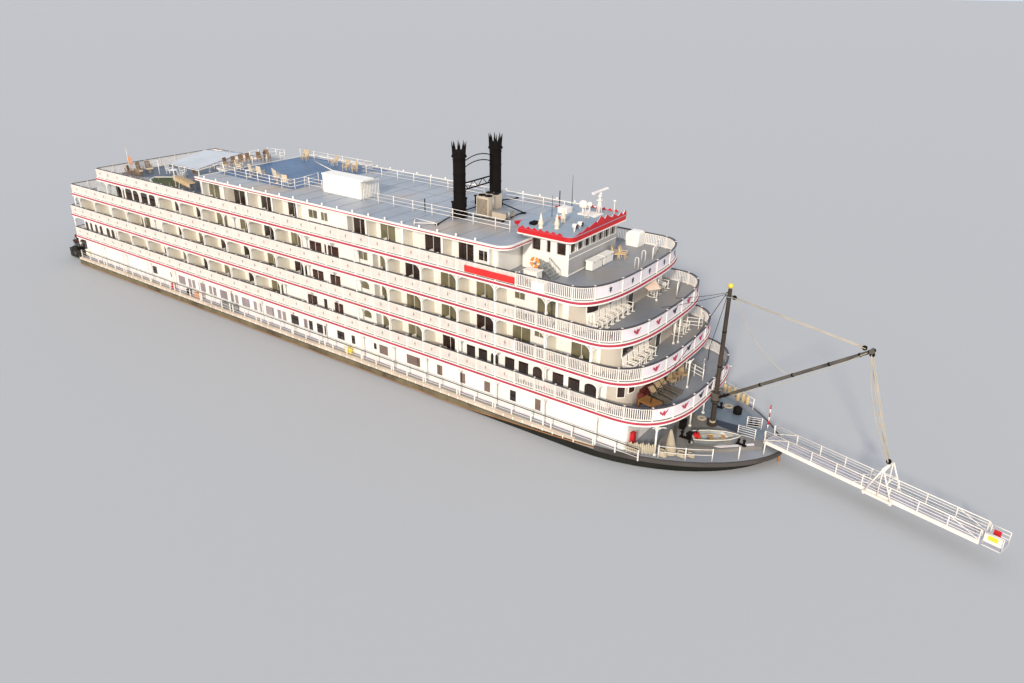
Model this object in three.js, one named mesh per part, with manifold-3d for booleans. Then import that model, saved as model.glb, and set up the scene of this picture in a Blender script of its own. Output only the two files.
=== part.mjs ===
// Sternwheel river passenger boat, a 1:10 scale model that stands on its flat hull bottom.
//
// Every size below is metres of the real boat. X runs to the bow, Y to port and Z up. X is
// measured from the aftmost starboard roof post and Z from the waterline. MODEL_SCALE turns
// these metres into millimetres of the model, and the outer group moves the origin to the
// middle of the hull's bottom.
import * as THREE from 'three';
import { mergeVertices } from 'three/addons/utils/BufferGeometryUtils.js';
import Module from 'manifold-3d';

const wasm = await Module();
wasm.setup();

// Scale and clearances
const MODEL_SCALE = 100;
const GAP = 0.003;

// Hull
const HALF_BEAM = 7.93;
const DRAFT = 1.9;
const STERN_X = -29.1;
const BOW_X = 57.4;
const BOW_CURVE_X = 44.0;
const BOW_POWER = 0.65;
const SHEER_Z = 0.66;
const MAIN_DECK_Z = 1.0;
const RUB_STRAKE = 0.08;
const HULL_MIDDLE_X = (STERN_X + BOW_X) / 2;

// Storeys
const SLAB = 0.35;
const RAIL_HEIGHT = 1.07;
const RAIL_THICKNESS = 0.08;
const RAIL_INSET = 0.06;
const FRONT_POWER = 2.95;
const ROOF_Z = 14.8;
const ROOF_SLAB = 0.25;
const ROOF_HALF_WIDTH = 7.43;
const ROOF_AFT = -2.2;
const ROOF_FRONT = 36.9;

// Decks above the main deck: number, floor level, aft edge, middle of the rounded front and
// how far back the rounding starts
const DECKS = [
  { n: 2, z: 3.96, aft: -29.0, front: 51.47, round: 5.5 },
  { n: 3, z: 6.71, aft: -29.0, front: 49.35, round: 4.3 },
  { n: 4, z: 9.46, aft: -27.8, front: 47.88, round: 3.6 },
  { n: 5, z: 12.21, aft: -21.1, front: 45.45, round: 3.1 },
];

// Houses: storey, ends of the block, half width, corner radius at the front, how far out the
// cabin dividers reach, and the recessed balcony zones with the places of their dividers
const HOUSES = [
  { n: 1, aft: -28.5, front: 48.0, half: 7.2, corner: 0.4, reach: 7.2, balconies: [] },
  {
    n: 2, aft: -28.3, front: 47.5, half: 7.0, corner: 1.6, reach: 7.72,
    balconies: [
      { from: -21.2, to: 9.35, dividers: [-19.1, -16.15, -12.9, -9.15, -5.35, -1.6, 2.3, 6.1] },
      { from: 22.2, to: 31.4, dividers: [24.7, 28.55] },
    ],
  },
  {
    n: 3, aft: -27.5, front: 46.6, half: 7.0, corner: 1.4, reach: 7.72,
    balconies: [
      {
        from: -27.3, to: 13.25,
        dividers: [-26.5, -23.1, -19.4, -16.2, -9.25, -5.5, -1.65, 2.15, 5.95, 9.85],
      },
      { from: 22.2, to: 45.0, dividers: [24.7, 28.55, 32.4, 36.2, 40.95, 44.94] },
    ],
  },
  {
    n: 4, aft: -19.0, front: 43.9, half: 7.0, corner: 1.6, reach: 7.72,
    balconies: [
      { from: -10.9, to: 13.0, dividers: [-9.2, -5.25, -1.45, 6.15, 10.1] },
      { from: 22.2, to: 41.9, dividers: [24.7, 28.55, 32.4, 36.2, 41.84] },
    ],
  },
  {
    n: 5, aft: -2.2, front: 35.7, half: 6.9, corner: 0.3, reach: 7.35,
    balconies: [
      { from: -2.0, to: 13.2, dividers: [2.2, 5.9, 9.6, 13.14] },
      { from: 19.2, to: 35.3, dividers: [22.0, 26.25, 30.55, 35.24] },
    ],
  },
];
const BALCONY_DEPTH = 0.7;
const DIVIDER = 0.12;

// Posts of the side railings that carry the deck above, by storey
const EDGE_POSTS = {
  2: [-19.1, -16.15, -12.9, -9.15, -5.35, -1.6, 2.3, 6.1, 10.05, 13.9, 17.35, 20.8, 24.7, 28.55,
    32.4, 36.2, 40.95, 45.7],
  3: [-26.5, -23.1, -19.4, -16.2, -12.75, -9.25, -5.5, -1.65, 2.15, 5.95, 9.85, 13.9, 17.35,
    20.8, 24.7, 28.55, 32.4, 36.2, 40.95, 44.94],
  4: [-19.4, -16.2, -12.75, -9.2, -5.25, -1.45, 2.3, 6.15, 10.1, 13.9, 17.35, 20.8, 24.7, 28.55,
    32.4, 36.2, 40.95],
};

// Railings on the roof, as plan paths
const SUN_RAILS = {
  aft: [[12.4, -3.5], [9.9, -3.5], [9.9, -5.2], [-1.9, -4.9], [-1.9, 3.2]],
  port: [[-1.6, 5.8], [9.9, 5.8], [9.9, 4.2], [34.8, 4.2]],
  starboard: [[18.2, -3.8], [34.8, -3.9]],
};

// Pilothouse
const PILOT = { aft: 35.95, front: 40.27, half: 3.76, top: 15.2, wall: 0.16 };
const PILOT_SILL_Z = 14.05;
const PILOT_HEAD_Z = 14.85;
const PILOT_ROOF = { aft: 35.0, front: 40.95, half: 4.5, thickness: 0.4 };
const CREST = { base: 15.6, low: 15.75, high: 16.4, teeth: 9, thickness: 0.14 };

// Chimneys
const STACK_X = 28.5;
const STACK_Y = 2.53;
const STACK_RADIUS = 0.53;
const STACK_TOP = 20.4;
const RING_Z = 19.85;
const CROWN_TOP = 21.15;
const CROWN_SPIKES = 8;

// Paddlewheel
const WHEEL_X = -31.95;
const WHEEL_Z = 0.75;
const WHEEL_RADIUS = 2.4;
const BUCKET_DEPTH = 0.75;
const WHEEL_HALF_WIDTH = 6.3;
const BUCKETS = 12;
const SHAFT_RADIUS = 0.28;
const BEAM_Y = 6.95;

// Rudders
const RUDDER_X = -27.6;
const RUDDER_Y = 3.2;
const RUDDER_STOCK = 0.12;
const RUDDER_TOP = -0.62;
const RUDDER_BOTTOM = -1.72;

// Foredeck, mast and boom
const FOREDECK = { aft: 49.6, front: 56.3, inset: 1.15, z: 1.3 };
const MAST_X = 51.92;
const MAST_RADIUS = 0.2;
const MAST_TOP = 12.7;
const BOOM_HEEL_Z = 3.9;
const BOOM_TIP = { reach: 10.58, z: 11.2 };
const BOOM_HEADING = THREE.MathUtils.degToRad(-7.5);

// Landing stage: the inner end lies at (reach, side) from the mast, seen along the boom
const STAGE = { reach: 4.38, side: 0.85, z: 1.5, length: 15.4, width: 1.4, rail: 0.95 };
const STAGE_HEADING = THREE.MathUtils.degToRad(-6.4);
const STAGE_PANELS = 8;
const FLAP_LENGTH = 1.3;
const HEAD = { foot1: 8.0, foot2: 9.85, apex: 8.9, z: 2.1 };

// Radar mast and scanner on the pilothouse roof
const RADAR = { x: 39.06, y: 2.8, height: 1.7 };

// Skiff: place of its stern and its size
const SKIFF = { x: 51.75, y: -3.6, heading: 0.61, length: 3.7, half: 0.76, depth: 0.7 };

// Colours, roughness and metalness of the finishes
const FINISHES = {
  white: [0xf4efe4, 0.55, 0.0],
  deck: [0x8d97a1, 0.8, 0.0],
  hull: [0x3b4643, 0.75, 0.0],
  black: [0x17171a, 0.6, 0.2],
  red: [0xb31e28, 0.6, 0.0],
  glass: [0x1c2226, 0.1, 0.0],
  steel: [0x7a7f82, 0.5, 0.6],
  wood: [0x8a6a45, 0.8, 0.0],
  rope: [0xb9a98a, 0.95, 0.0],
  canvas: [0xd5d9dc, 0.9, 0.0],
  beige: [0xb7ab97, 0.7, 0.0],
};

function finish(name) {
  const [color, roughness, metalness] = FINISHES[name];
  return new THREE.MeshStandardMaterial({ color, roughness, metalness });
}

// Solids

function solid(geometry) {
  const bare = geometry.clone();
  bare.deleteAttribute('normal');
  bare.deleteAttribute('uv');
  const merged = mergeVertices(bare, 1e-5);
  return new wasm.Manifold(new wasm.Mesh({
    numProp: 3,
    vertProperties: new Float32Array(merged.attributes.position.array),
    triVerts: new Uint32Array(merged.index.array),
  }));
}

function geometryOf(body) {
  const mesh = body.getMesh();
  const geometry = new THREE.BufferGeometry();
  geometry.setAttribute('position', new THREE.BufferAttribute(mesh.vertProperties, 3));
  geometry.setIndex(new THREE.BufferAttribute(mesh.triVerts, 1));
  geometry.computeVertexNormals();
  return geometry;
}

const join = (pieces) => pieces.reduce((whole, piece) => whole.add(piece));
const cut = (whole, pieces) => pieces.reduce((rest, piece) => rest.subtract(piece), whole);

function box(x0, x1, y0, y1, z0, z1) {
  const geometry = new THREE.BoxGeometry(x1 - x0, y1 - y0, z1 - z0);
  geometry.translate((x0 + x1) / 2, (y0 + y1) / 2, (z0 + z1) / 2);
  return solid(geometry);
}

// A round bar between two points
function rod(from, to, radius, sides = 8, endRadius = radius) {
  const a = new THREE.Vector3(...from);
  const b = new THREE.Vector3(...to);
  const along = b.clone().sub(a);
  const geometry = new THREE.CylinderGeometry(endRadius, radius, along.length(), sides);
  const turn = new THREE.Quaternion().setFromUnitVectors(
    new THREE.Vector3(0, 1, 0), along.clone().normalize());
  geometry.applyQuaternion(turn);
  geometry.translate(...a.add(b).multiplyScalar(0.5).toArray());
  return solid(geometry);
}

// A plan outline raised from z0 to z1
function prism(outline, z0, z1) {
  const shape = new THREE.Shape(outline.map(([x, y]) => new THREE.Vector2(x, y)));
  const geometry = new THREE.ExtrudeGeometry(shape, { depth: z1 - z0, bevelEnabled: false });
  geometry.translate(0, 0, z0);
  return solid(geometry);
}

// A closed surface through level outlines of equal point count, flat at both ends
function loft(levels) {
  const count = levels[0].length;
  const points = levels.flat(2);
  const faces = [];
  for (let level = 0; level < levels.length - 1; level += 1) {
    for (let i = 0; i < count; i += 1) {
      const a = level * count + i;
      const b = level * count + ((i + 1) % count);
      faces.push(a, b, b + count, a, b + count, a + count);
    }
  }
  const top = (levels.length - 1) * count;
  for (let i = 1; i < count - 1; i += 1) {
    faces.push(0, i + 1, i);
    faces.push(top, top + i, top + i + 1);
  }
  const geometry = new THREE.BufferGeometry();
  geometry.setAttribute('position', new THREE.Float32BufferAttribute(points, 3));
  geometry.setIndex(faces);
  return solid(geometry);
}

// Outlines, anticlockwise from above

const mirrored = (side) => [...side, ...side.slice().reverse().map(([x, y]) => [x, -y])];

// A passenger deck: square at the stern, with a blunt front rounded as a superellipse
function deckOutline(aft, front, half, round, steps = 8) {
  const starboard = [[aft, -half]];
  for (let i = 0; i < steps; i += 1) {
    const angle = (i / steps) * (Math.PI / 2);
    const along = Math.sin(angle) ** (2 / FRONT_POWER);
    const across = Math.cos(angle) ** (2 / FRONT_POWER);
    starboard.push([front - round + round * along, -half * across]);
  }
  return mirrored(starboard);
}

// The main deck: straight sides that close in to a rounded point at the bow
function hullOutline(z, aft, front, half, steps = 12) {
  const starboard = [[aft, -half, z]];
  for (let i = 0; i <= steps; i += 1) {
    const t = Math.min(Math.sin((i / steps) * (Math.PI / 2)), 0.9995);
    const x = BOW_CURVE_X + (front - BOW_CURVE_X) * t;
    starboard.push([x, -half * (1 - t * t) ** BOW_POWER, z]);
  }
  const port = starboard.slice().reverse().map(([x, y]) => [x, -y, z]);
  return [...starboard, ...port];
}

const bowHalfWidth = (x) => {
  const t = Math.max(0, (x - BOW_CURVE_X) / (BOW_X - BOW_CURVE_X));
  return HALF_BEAM * (1 - t * t) ** BOW_POWER;
};

function houseOutline(aft, front, half, corner, steps = 5) {
  const starboard = [[aft, -half]];
  for (let i = 0; i <= steps; i += 1) {
    const angle = (i / steps) * (Math.PI / 2);
    starboard.push([
      front - corner + corner * Math.sin(angle), -half + corner - corner * Math.cos(angle),
    ]);
  }
  return mirrored(starboard);
}

// Parts

function hull() {
  // level, stern end, bow end, half beam
  const levels = [
    [-DRAFT, -19.5, 50.5, 7.2],
    [-DRAFT + 0.5, -21.6, 53.4, 7.85],
    [-0.4, -26.5, 56.2, HALF_BEAM],
    [0.25, STERN_X, BOW_X - 0.35, HALF_BEAM],
    [SHEER_Z, STERN_X, BOW_X - 0.05, HALF_BEAM],
  ];
  const body = loft(levels.map(([z, aft, front, half]) => hullOutline(z, aft, front, half)));
  const bosses = [-1, 1].map((side) => rod(
    [RUDDER_X, side * RUDDER_Y, 0.3], [RUDDER_X, side * RUDDER_Y, RUDDER_TOP + 0.15], 0.26, 12));
  return join([body, ...bosses]);
}

function mainDeck() {
  const flat = (points) => points.map(([x, y]) => [x, y]);
  const strake = flat(hullOutline(0, STERN_X, BOW_X + RUB_STRAKE, HALF_BEAM + RUB_STRAKE));
  const plank = flat(hullOutline(0, STERN_X, BOW_X, HALF_BEAM));
  return join([
    prism(strake, SHEER_Z + GAP, SHEER_Z + 0.2),
    prism(plank, SHEER_Z + 0.1, MAIN_DECK_Z),
  ]);
}

function foredeck() {
  const { aft, front, inset, z } = FOREDECK;
  const side = [[aft, -(bowHalfWidth(aft) - inset)]];
  for (let x = aft + 1; x < front - 0.2; x += 1) {
    side.push([x, -(bowHalfWidth(x + 0.6) - inset)]);
  }
  side.push([front, -0.9]);
  return prism(mirrored(side), MAIN_DECK_Z + GAP, z);
}

// Storey's block with its balconies cut out of both sides and a divider between each two
function house({ n, aft, front, half, corner, reach, balconies }) {
  const floor = (n === 1 ? MAIN_DECK_Z : DECKS[n - 2].z) + GAP;
  const ceiling = (n === 5 ? ROOF_Z - ROOF_SLAB : DECKS[n - 1].z - SLAB) - GAP;
  const block = prism(houseOutline(aft, front, half, corner), floor, ceiling);
  const back = half - BALCONY_DEPTH;
  const recesses = balconies.flatMap(({ from, to }) => [
    box(from, to, -half - 1, -back, floor - 1, ceiling + 1),
    box(from, to, back, half + 1, floor - 1, ceiling + 1),
  ]);
  const fins = balconies.flatMap(({ dividers }) => dividers.flatMap((x) => [
    box(x - DIVIDER / 2, x + DIVIDER / 2, -reach, -back + 0.2, floor, ceiling),
    box(x - DIVIDER / 2, x + DIVIDER / 2, back - 0.2, reach, floor, ceiling),
  ]));
  return join([cut(block, recesses), ...fins]);
}

const deckSlab = ({ z, aft, front, round }) => prism(
  deckOutline(aft, front, HALF_BEAM, round), z - SLAB, z);

// Railing round a deck with the posts that stand in its line under the next deck
function railing({ n, z, aft, front, round }) {
  const ring = (inset) => deckOutline(aft + inset, front - inset, HALF_BEAM - inset, round);
  const outer = prism(ring(RAIL_INSET), z + GAP, z + RAIL_HEIGHT);
  const inner = prism(ring(RAIL_INSET + RAIL_THICKNESS), z - 1, z + RAIL_HEIGHT + 1);
  const far = HALF_BEAM - RAIL_INSET - 0.01;
  const near = far - 0.1;
  const posts = (EDGE_POSTS[n] ?? []).flatMap((x) => [[-far, -near], [near, far]].map(
    ([y0, y1]) => box(x - 0.06, x + 0.06, y0, y1, z + 0.02, DECKS[n - 1].z - SLAB - GAP)));
  return join([outer.subtract(inner), ...posts]);
}

// Upright plate between two plan points, cut into posts and bars by rows of openings
function fencePanel([x0, y0], [x1, y1], { z, height, rows, bays, bar, thickness }) {
  const length = Math.hypot(x1 - x0, y1 - y0);
  const half = thickness / 2;
  const openings = [];
  for (let bay = 0; bay < bays; bay += 1) {
    const left = (bay * length) / bays + bar / 2;
    const right = ((bay + 1) * length) / bays - bar / 2;
    for (let row = 0; row < rows; row += 1) {
      const low = (row * height) / rows + bar / 2;
      const high = ((row + 1) * height) / rows - bar / 2;
      openings.push(box(left, right, -half - 1, half + 1, low, high));
    }
  }
  const panel = geometryOf(cut(box(0, length, -half, half, 0, height), openings));
  panel.rotateZ(Math.atan2(y1 - y0, x1 - x0));
  panel.translate(x0, y0, z);
  return solid(panel);
}

// Fence along a path of plan points, joined by a post at each corner
function fence(path, look) {
  const panels = path.slice(1).map((point, i) => fencePanel(path[i], point, {
    ...look,
    bays: Math.max(1, Math.round(
      Math.hypot(point[0] - path[i][0], point[1] - path[i][1]) / look.spacing)),
  }));
  const half = look.bar * 0.6;
  const corners = path.slice(1, -1).map(([x, y]) => box(
    x - half, x + half, y - half, y + half, look.z + 0.02, look.z + look.height + 0.03));
  return join([...panels, ...corners]);
}

const mainRail = (side) => box(STERN_X + 0.2, 49.4,
  Math.min(side * 7.8, side * (7.8 + RAIL_THICKNESS)),
  Math.max(side * 7.8, side * (7.8 + RAIL_THICKNESS)), MAIN_DECK_Z + GAP, MAIN_DECK_Z + 1.0);

function bowRail(side) {
  const path = [50.4, 52.3, 54.1].map((x) => [x, side * (bowHalfWidth(x) - 0.2)]);
  return fence(path, {
    z: MAIN_DECK_Z + GAP, height: 0.95, rows: 2, spacing: 2, bar: 0.08, thickness: 0.07,
  });
}

function bowPorch() {
  const top = DECKS[0].z - SLAB - GAP;
  // place and foot of each post: outboard on the main deck, inboard on the foredeck
  const posts = [
    [50.05, -6.4, MAIN_DECK_Z], [50.6, -1.3, FOREDECK.z],
    [50.6, 1.3, FOREDECK.z], [50.05, 6.4, MAIN_DECK_Z],
  ];
  const columns = posts.map(([x, y, foot]) => rod([x, y, foot + GAP], [x, y, top], 0.09, 8));
  const header = posts.slice(1).map(([x, y], i) => rod(
    [posts[i][0], posts[i][1], top - 0.12], [x, y, top - 0.12], 0.09, 6));
  return join([...columns, ...header]);
}

function sunDeck() {
  const slab = prism(houseOutline(ROOF_AFT, ROOF_FRONT, ROOF_HALF_WIDTH, 1.1),
    ROOF_Z - ROOF_SLAB, ROOF_Z);
  const notch = box(PILOT.aft - 0.05, ROOF_FRONT + 1, -PILOT.half - 0.05, PILOT.half + 0.05,
    ROOF_Z - 1, ROOF_Z + 1);
  return slab.subtract(notch);
}

function pilothouseWalls() {
  const { aft, front, half, top, wall } = PILOT;
  const floor = DECKS[3].z + GAP;
  const shell = box(aft, front, -half, half, floor, top - GAP).subtract(
    box(aft + wall, front - wall, -half + wall, half - wall, floor - 1, top + 1));
  const windows = [];
  const panes = 7;
  const pitch = (2 * half - 0.3) / panes;
  for (let i = 0; i < panes; i += 1) {
    const y = -half + 0.15 + i * pitch;
    windows.push(box(front - 1, front + 1, y + 0.08, y + pitch - 0.08,
      PILOT_SILL_Z, PILOT_HEAD_Z));
  }
  // side windows and door light: ends along X, sill
  [[36.82, 37.68, 13.85], [38.2, 38.62, 13.85], [39.14, 40.02, 13.85]].forEach(([x0, x1, sill]) => {
    windows.push(box(x0, x1, -half - 1, half + 1, sill, PILOT_HEAD_Z));
  });
  return cut(shell, windows);
}

function pilothouseGlass() {
  const { aft, front, half, wall } = PILOT;
  const inset = wall + 0.01;
  const pane = 0.03;
  const z0 = PILOT_SILL_Z - 0.3;
  const z1 = PILOT_HEAD_Z + 0.1;
  const outer = box(aft + inset, front - inset, -half + inset, half - inset, z0, z1);
  const inner = box(aft + inset + pane, front - inset - pane,
    -half + inset + pane, half - inset - pane, z0 - 1, z1 + 1);
  return outer.subtract(inner);
}

// Roof with its ornamental crest: a row of saw teeth over the front and part of each side
function pilothouseRoof() {
  const { aft, front, half, thickness } = PILOT_ROOF;
  const slab = prism(houseOutline(aft, front, half, 0.6), PILOT.top, PILOT.top + thickness);
  const { base, low, high, teeth, thickness: plate } = CREST;
  const edge = [[-half + 0.5, base - 0.1]];
  for (let i = 0; i < teeth; i += 1) {
    const y = -half + 0.5 + ((2 * half - 1) * (i + 0.5)) / teeth;
    const centre = 1 - Math.abs(2 * ((i + 0.5) / teeth) - 1);
    edge.push([y - 0.3, low]);
    edge.push([y, low + (high - low) * (0.35 + 0.65 * centre)]);
  }
  edge.push([half - 0.5, low]);
  edge.push([half - 0.5, base - 0.1]);
  const crest = new THREE.ExtrudeGeometry(
    new THREE.Shape(edge.map(([y, z]) => new THREE.Vector2(y, z))),
    { depth: plate, bevelEnabled: false });
  // the crest is drawn in Y and Z, then stood up across the roof's front edge
  crest.rotateX(Math.PI / 2);
  crest.rotateZ(Math.PI / 2);
  crest.translate(front - plate - 0.02, 0, 0);
  return join([slab, solid(crest)]);
}

function stack(side) {
  const y = side * STACK_Y;
  const spikes = Array.from({ length: CROWN_SPIKES }, (_, i) => {
    const angle = (i / CROWN_SPIKES) * 2 * Math.PI;
    const cos = Math.cos(angle);
    const sin = Math.sin(angle);
    return rod(
      [STACK_X + 0.4 * cos, y + 0.4 * sin, RING_Z + 0.05],
      [STACK_X + 0.62 * cos, y + 0.62 * sin, CROWN_TOP], 0.2, 4, 0.015);
  });
  return join([
    rod([STACK_X, y, ROOF_Z + GAP], [STACK_X, y, STACK_TOP], STACK_RADIUS, 16),
    rod([STACK_X, y, RING_Z], [STACK_X, y, RING_Z + 0.17], STACK_RADIUS + 0.11, 16),
    rod([STACK_X, y, ROOF_Z + GAP], [STACK_X, y, ROOF_Z + 0.3], STACK_RADIUS + 0.16, 16),
    ...spikes,
  ]);
}

// Lattice between the chimneys with two arched rods above it
function stackBracing() {
  const y1 = STACK_Y - STACK_RADIUS - 0.03;
  const bays = 6;
  const low = 16.95;
  const high = 17.5;
  const pieces = [
    box(STACK_X - 0.05, STACK_X + 0.05, -y1, y1, low, low + 0.1),
    box(STACK_X - 0.05, STACK_X + 0.05, -y1, y1, high, high + 0.1),
  ];
  for (let i = 0; i < bays; i += 1) {
    const a = -y1 + (2 * y1 * i) / bays + 0.04;
    const b = -y1 + (2 * y1 * (i + 1)) / bays - 0.04;
    const [from, to] = i % 2 ? [low + 0.05, high + 0.05] : [high + 0.05, low + 0.05];
    pieces.push(rod([STACK_X, a, from], [STACK_X, b, to], 0.04, 4));
  }
  pieces.push(box(STACK_X - 0.04, STACK_X + 0.04, -y1, -y1 + 0.1, low, 19.45));
  pieces.push(box(STACK_X - 0.04, STACK_X + 0.04, y1 - 0.1, y1, low, 19.45));
  [19.37, 18.85].forEach((z) => {
    const arch = Array.from({ length: 7 }, (_, i) => {
      const s = -1 + i / 3;
      return [STACK_X, s * (y1 - 0.05), z + 0.35 * (1 - s * s)];
    });
    arch.slice(1).forEach((point, i) => pieces.push(rod(arch[i], point, 0.045, 4)));
  });
  return join(pieces);
}

function paddlewheel() {
  const half = WHEEL_HALF_WIDTH;
  const inner = WHEEL_RADIUS - BUCKET_DEPTH;
  const planes = [-half + 0.1, 0, half - 0.1];
  const turned = (x0, x1, y0, y1, z0, z1, angle) => {
    const geometry = new THREE.BoxGeometry(x1 - x0, y1 - y0, z1 - z0);
    geometry.translate((x0 + x1) / 2, (y0 + y1) / 2, (z0 + z1) / 2);
    geometry.rotateY(angle);
    return solid(geometry);
  };
  const pieces = [rod([0, -BEAM_Y - 0.35, 0], [0, BEAM_Y + 0.35, 0], SHAFT_RADIUS, 12)];
  planes.forEach((y) => {
    const disc = (radius, sides) => rod([0, y - 0.06, 0], [0, y + 0.06, 0], radius, sides);
    const rim = disc(inner + 0.25, BUCKETS).subtract(
      rod([0, y - 1, 0], [0, y + 1, 0], inner + 0.05, BUCKETS));
    pieces.push(rim, disc(0.6, BUCKETS));
  });
  for (let i = 0; i < BUCKETS; i += 1) {
    const angle = (i / BUCKETS) * 2 * Math.PI;
    planes.forEach((y) => pieces.push(
      turned(0.3, inner + 0.1, y - 0.06, y + 0.06, -0.07, 0.07, angle)));
    pieces.push(turned(inner, WHEEL_RADIUS, -half, half, 0.0, 0.07, angle));
  }
  return join(pieces);
}

// Timber that carries the wheel's shaft behind the hull, with its bearing block
function wheelBeam(side) {
  const y = side * BEAM_Y;
  const block = join([
    box(WHEEL_X - 1.3, STERN_X - GAP, y - 0.28, y + 0.28, 0.2, 1.3),
    box(WHEEL_X - 0.55, WHEEL_X + 0.55, y - 0.25, y + 0.25, 1.2, 1.6),
  ]);
  return block.subtract(
    rod([WHEEL_X, y - 1, WHEEL_Z], [WHEEL_X, y + 1, WHEEL_Z], SHAFT_RADIUS + 0.03, 24));
}

function rudder() {
  return join([
    rod([0, 0, RUDDER_BOTTOM + 0.2], [0, 0, RUDDER_TOP + 0.15 - GAP], RUDDER_STOCK, 12),
    box(-1.0, 1.25, -0.06, 0.06, RUDDER_BOTTOM, RUDDER_TOP),
  ]);
}

function mast() {
  return join([
    rod([MAST_X, 0, FOREDECK.z + GAP], [MAST_X, 0, MAST_TOP], MAST_RADIUS, 14, 0.15),
    rod([MAST_X, 0, FOREDECK.z + GAP], [MAST_X, 0, FOREDECK.z + 0.25], 0.42, 14),
    rod([MAST_X, 0, BOOM_HEEL_Z - 0.55], [MAST_X, 0, BOOM_HEEL_Z - 0.4], 0.34, 14),
    rod([MAST_X, 0, MAST_TOP - 0.02], [MAST_X, 0, MAST_TOP + 0.2], 0.13, 10),
  ]);
}

function collar(z0, z1, inner, outer) {
  return rod([0, 0, z0], [0, 0, z1], outer, 16).subtract(
    rod([0, 0, z0 - 1], [0, 0, z1 + 1], inner, 16));
}

function boom() {
  const tip = [BOOM_TIP.reach, 0, BOOM_TIP.z];
  return join([
    collar(BOOM_HEEL_Z - 0.3, BOOM_HEEL_Z + 0.3, 0.27, 0.37),
    rod([0.33, 0, BOOM_HEEL_Z], tip, 0.13, 12),
    rod([BOOM_TIP.reach, -0.2, BOOM_TIP.z], [BOOM_TIP.reach, 0.2, BOOM_TIP.z], 0.17, 12),
  ]);
}

function toppingLift() {
  const z = MAST_TOP - 0.5;
  const end = [BOOM_TIP.reach - 0.42, 0, BOOM_TIP.z + 0.02];
  return join([
    collar(z - 0.1, z + 0.1, 0.22, 0.3),
    rod([0.27, -0.1, z], [end[0], -0.1, end[2] + 0.05], 0.035, 6),
    rod([0.27, 0.1, z], [end[0], 0.1, end[2] + 0.05], 0.035, 6),
    rod([end[0], -0.13, end[2] + 0.05], [end[0], 0.13, end[2] + 0.05], 0.05, 6),
  ]);
}

// Place of the lifting frame's top, seen along the boom
function headPlace() {
  const cos = Math.cos(STAGE_HEADING);
  const sin = Math.sin(STAGE_HEADING);
  return [STAGE.reach + HEAD.apex * cos, STAGE.side + HEAD.apex * sin, STAGE.z + HEAD.z];
}

function stageFalls() {
  const [x, y, z] = headPlace();
  const top = [BOOM_TIP.reach + 0.03, 0, BOOM_TIP.z - 0.25];
  const foot = [x - 0.05, y, z + 0.28];
  const ropes = [-0.12, 0.12].map((shift) => rod(
    [top[0], top[1] + shift, top[2]], [foot[0], foot[1] + shift, foot[2]], 0.035, 6));
  const blocks = [top, foot].map(([bx, by, bz]) => rod(
    [bx, by - 0.17, bz], [bx, by + 0.17, bz], 0.06, 8));
  return join([...ropes, ...blocks]);
}

function stage() {
  const { length, width, rail } = STAGE;
  const half = width / 2;
  const pieces = [box(0, length, -half, half, -0.05, 0.05)];
  [-1, 1].forEach((side) => {
    const y = side * (half - 0.05);
    pieces.push(box(0, length, y - 0.05, y + 0.05, -0.16, 0.12));
    pieces.push(fencePanel([0, y], [length, y], {
      z: 0.04, height: rail - 0.04, rows: 2, bays: STAGE_PANELS, bar: 0.07, thickness: 0.06,
    }));
    [HEAD.foot1, HEAD.foot2].forEach((foot) => {
      pieces.push(rod([foot, side * half, 0], [HEAD.apex, side * half, HEAD.z], 0.06, 6));
    });
  });
  pieces.push(rod([HEAD.apex, -half, HEAD.z], [HEAD.apex, half, HEAD.z], 0.08, 8));
  return join(pieces);
}

const stageFlap = () => box(0.11, FLAP_LENGTH, -STAGE.width / 2, STAGE.width / 2, -0.07, 0.0);

function skiff() {
  const { length, half, depth } = SKIFF;
  const ring = (z, stern, bow, wide) => {
    const side = [[stern, -wide * 0.85, z], [stern + length * 0.38, -wide, z]];
    side.push([bow - length * 0.29, -wide * 0.8, z]);
    side.push([bow - length * 0.1, -wide * 0.35, z]);
    return [...side, [bow, 0, z], ...side.slice().reverse().map(([x, y]) => [x, -y, z])];
  };
  const body = loft([ring(0, 0.1, length - 0.5, half * 0.6),
    ring(depth / 2, 0.03, length - 0.15, half * 0.88), ring(depth, 0, length, half)]);
  const hollow = loft([ring(0.12, 0.25, length - 0.8, half * 0.46),
    ring(0.4, 0.2, length - 0.45, half * 0.78), ring(depth + 0.1, 0.15, length - 0.3, half * 0.91)]);
  return cut(body, [hollow]).add(box(1.3, 1.6, -half * 0.78, half * 0.78, 0.4, 0.46));
}

function radarMast() {
  const z = PILOT.top + PILOT_ROOF.thickness + GAP;
  const { x, y, height } = RADAR;
  return join([
    rod([x, y, z], [x, y, z + height], 0.1, 10),
    box(x - 1.45, x + 0.3, y - 1.1, y + 0.25, z, z + 0.12),
    rod([x - 1.1, y - 0.75, z], [x - 1.1, y - 0.75, z + 0.7], 0.08, 8),
    rod([x - 1.1, y - 0.75, z + 0.6], [x - 1.1, y - 0.75, z + 1.2], 0.34, 12),
  ]);
}

const radarScanner = () => join([
  rod([0, 0, 0], [0, 0, 0.22], 0.13, 10),
  box(-0.12, 0.12, -1.15, 1.15, 0.2, 0.36),
]);

function awning() {
  const slab = prism([[-10.2, -5.2], [-4.9, -5.3], [-6.1, -1.3], [-8.8, 3.4], [-12.7, 2.8],
    [-13.9, 1.8]], 14.72, 14.84);
  const posts = [[-10.1, -4.9], [-5.2, -5.0], [-8.9, 3.1], [-13.5, 1.8]];
  return join([slab, ...posts.map(([x, y]) => rod(
    [x, y, DECKS[3].z + GAP], [x, y, 14.75], 0.07, 8))]);
}

// Scene graph

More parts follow.
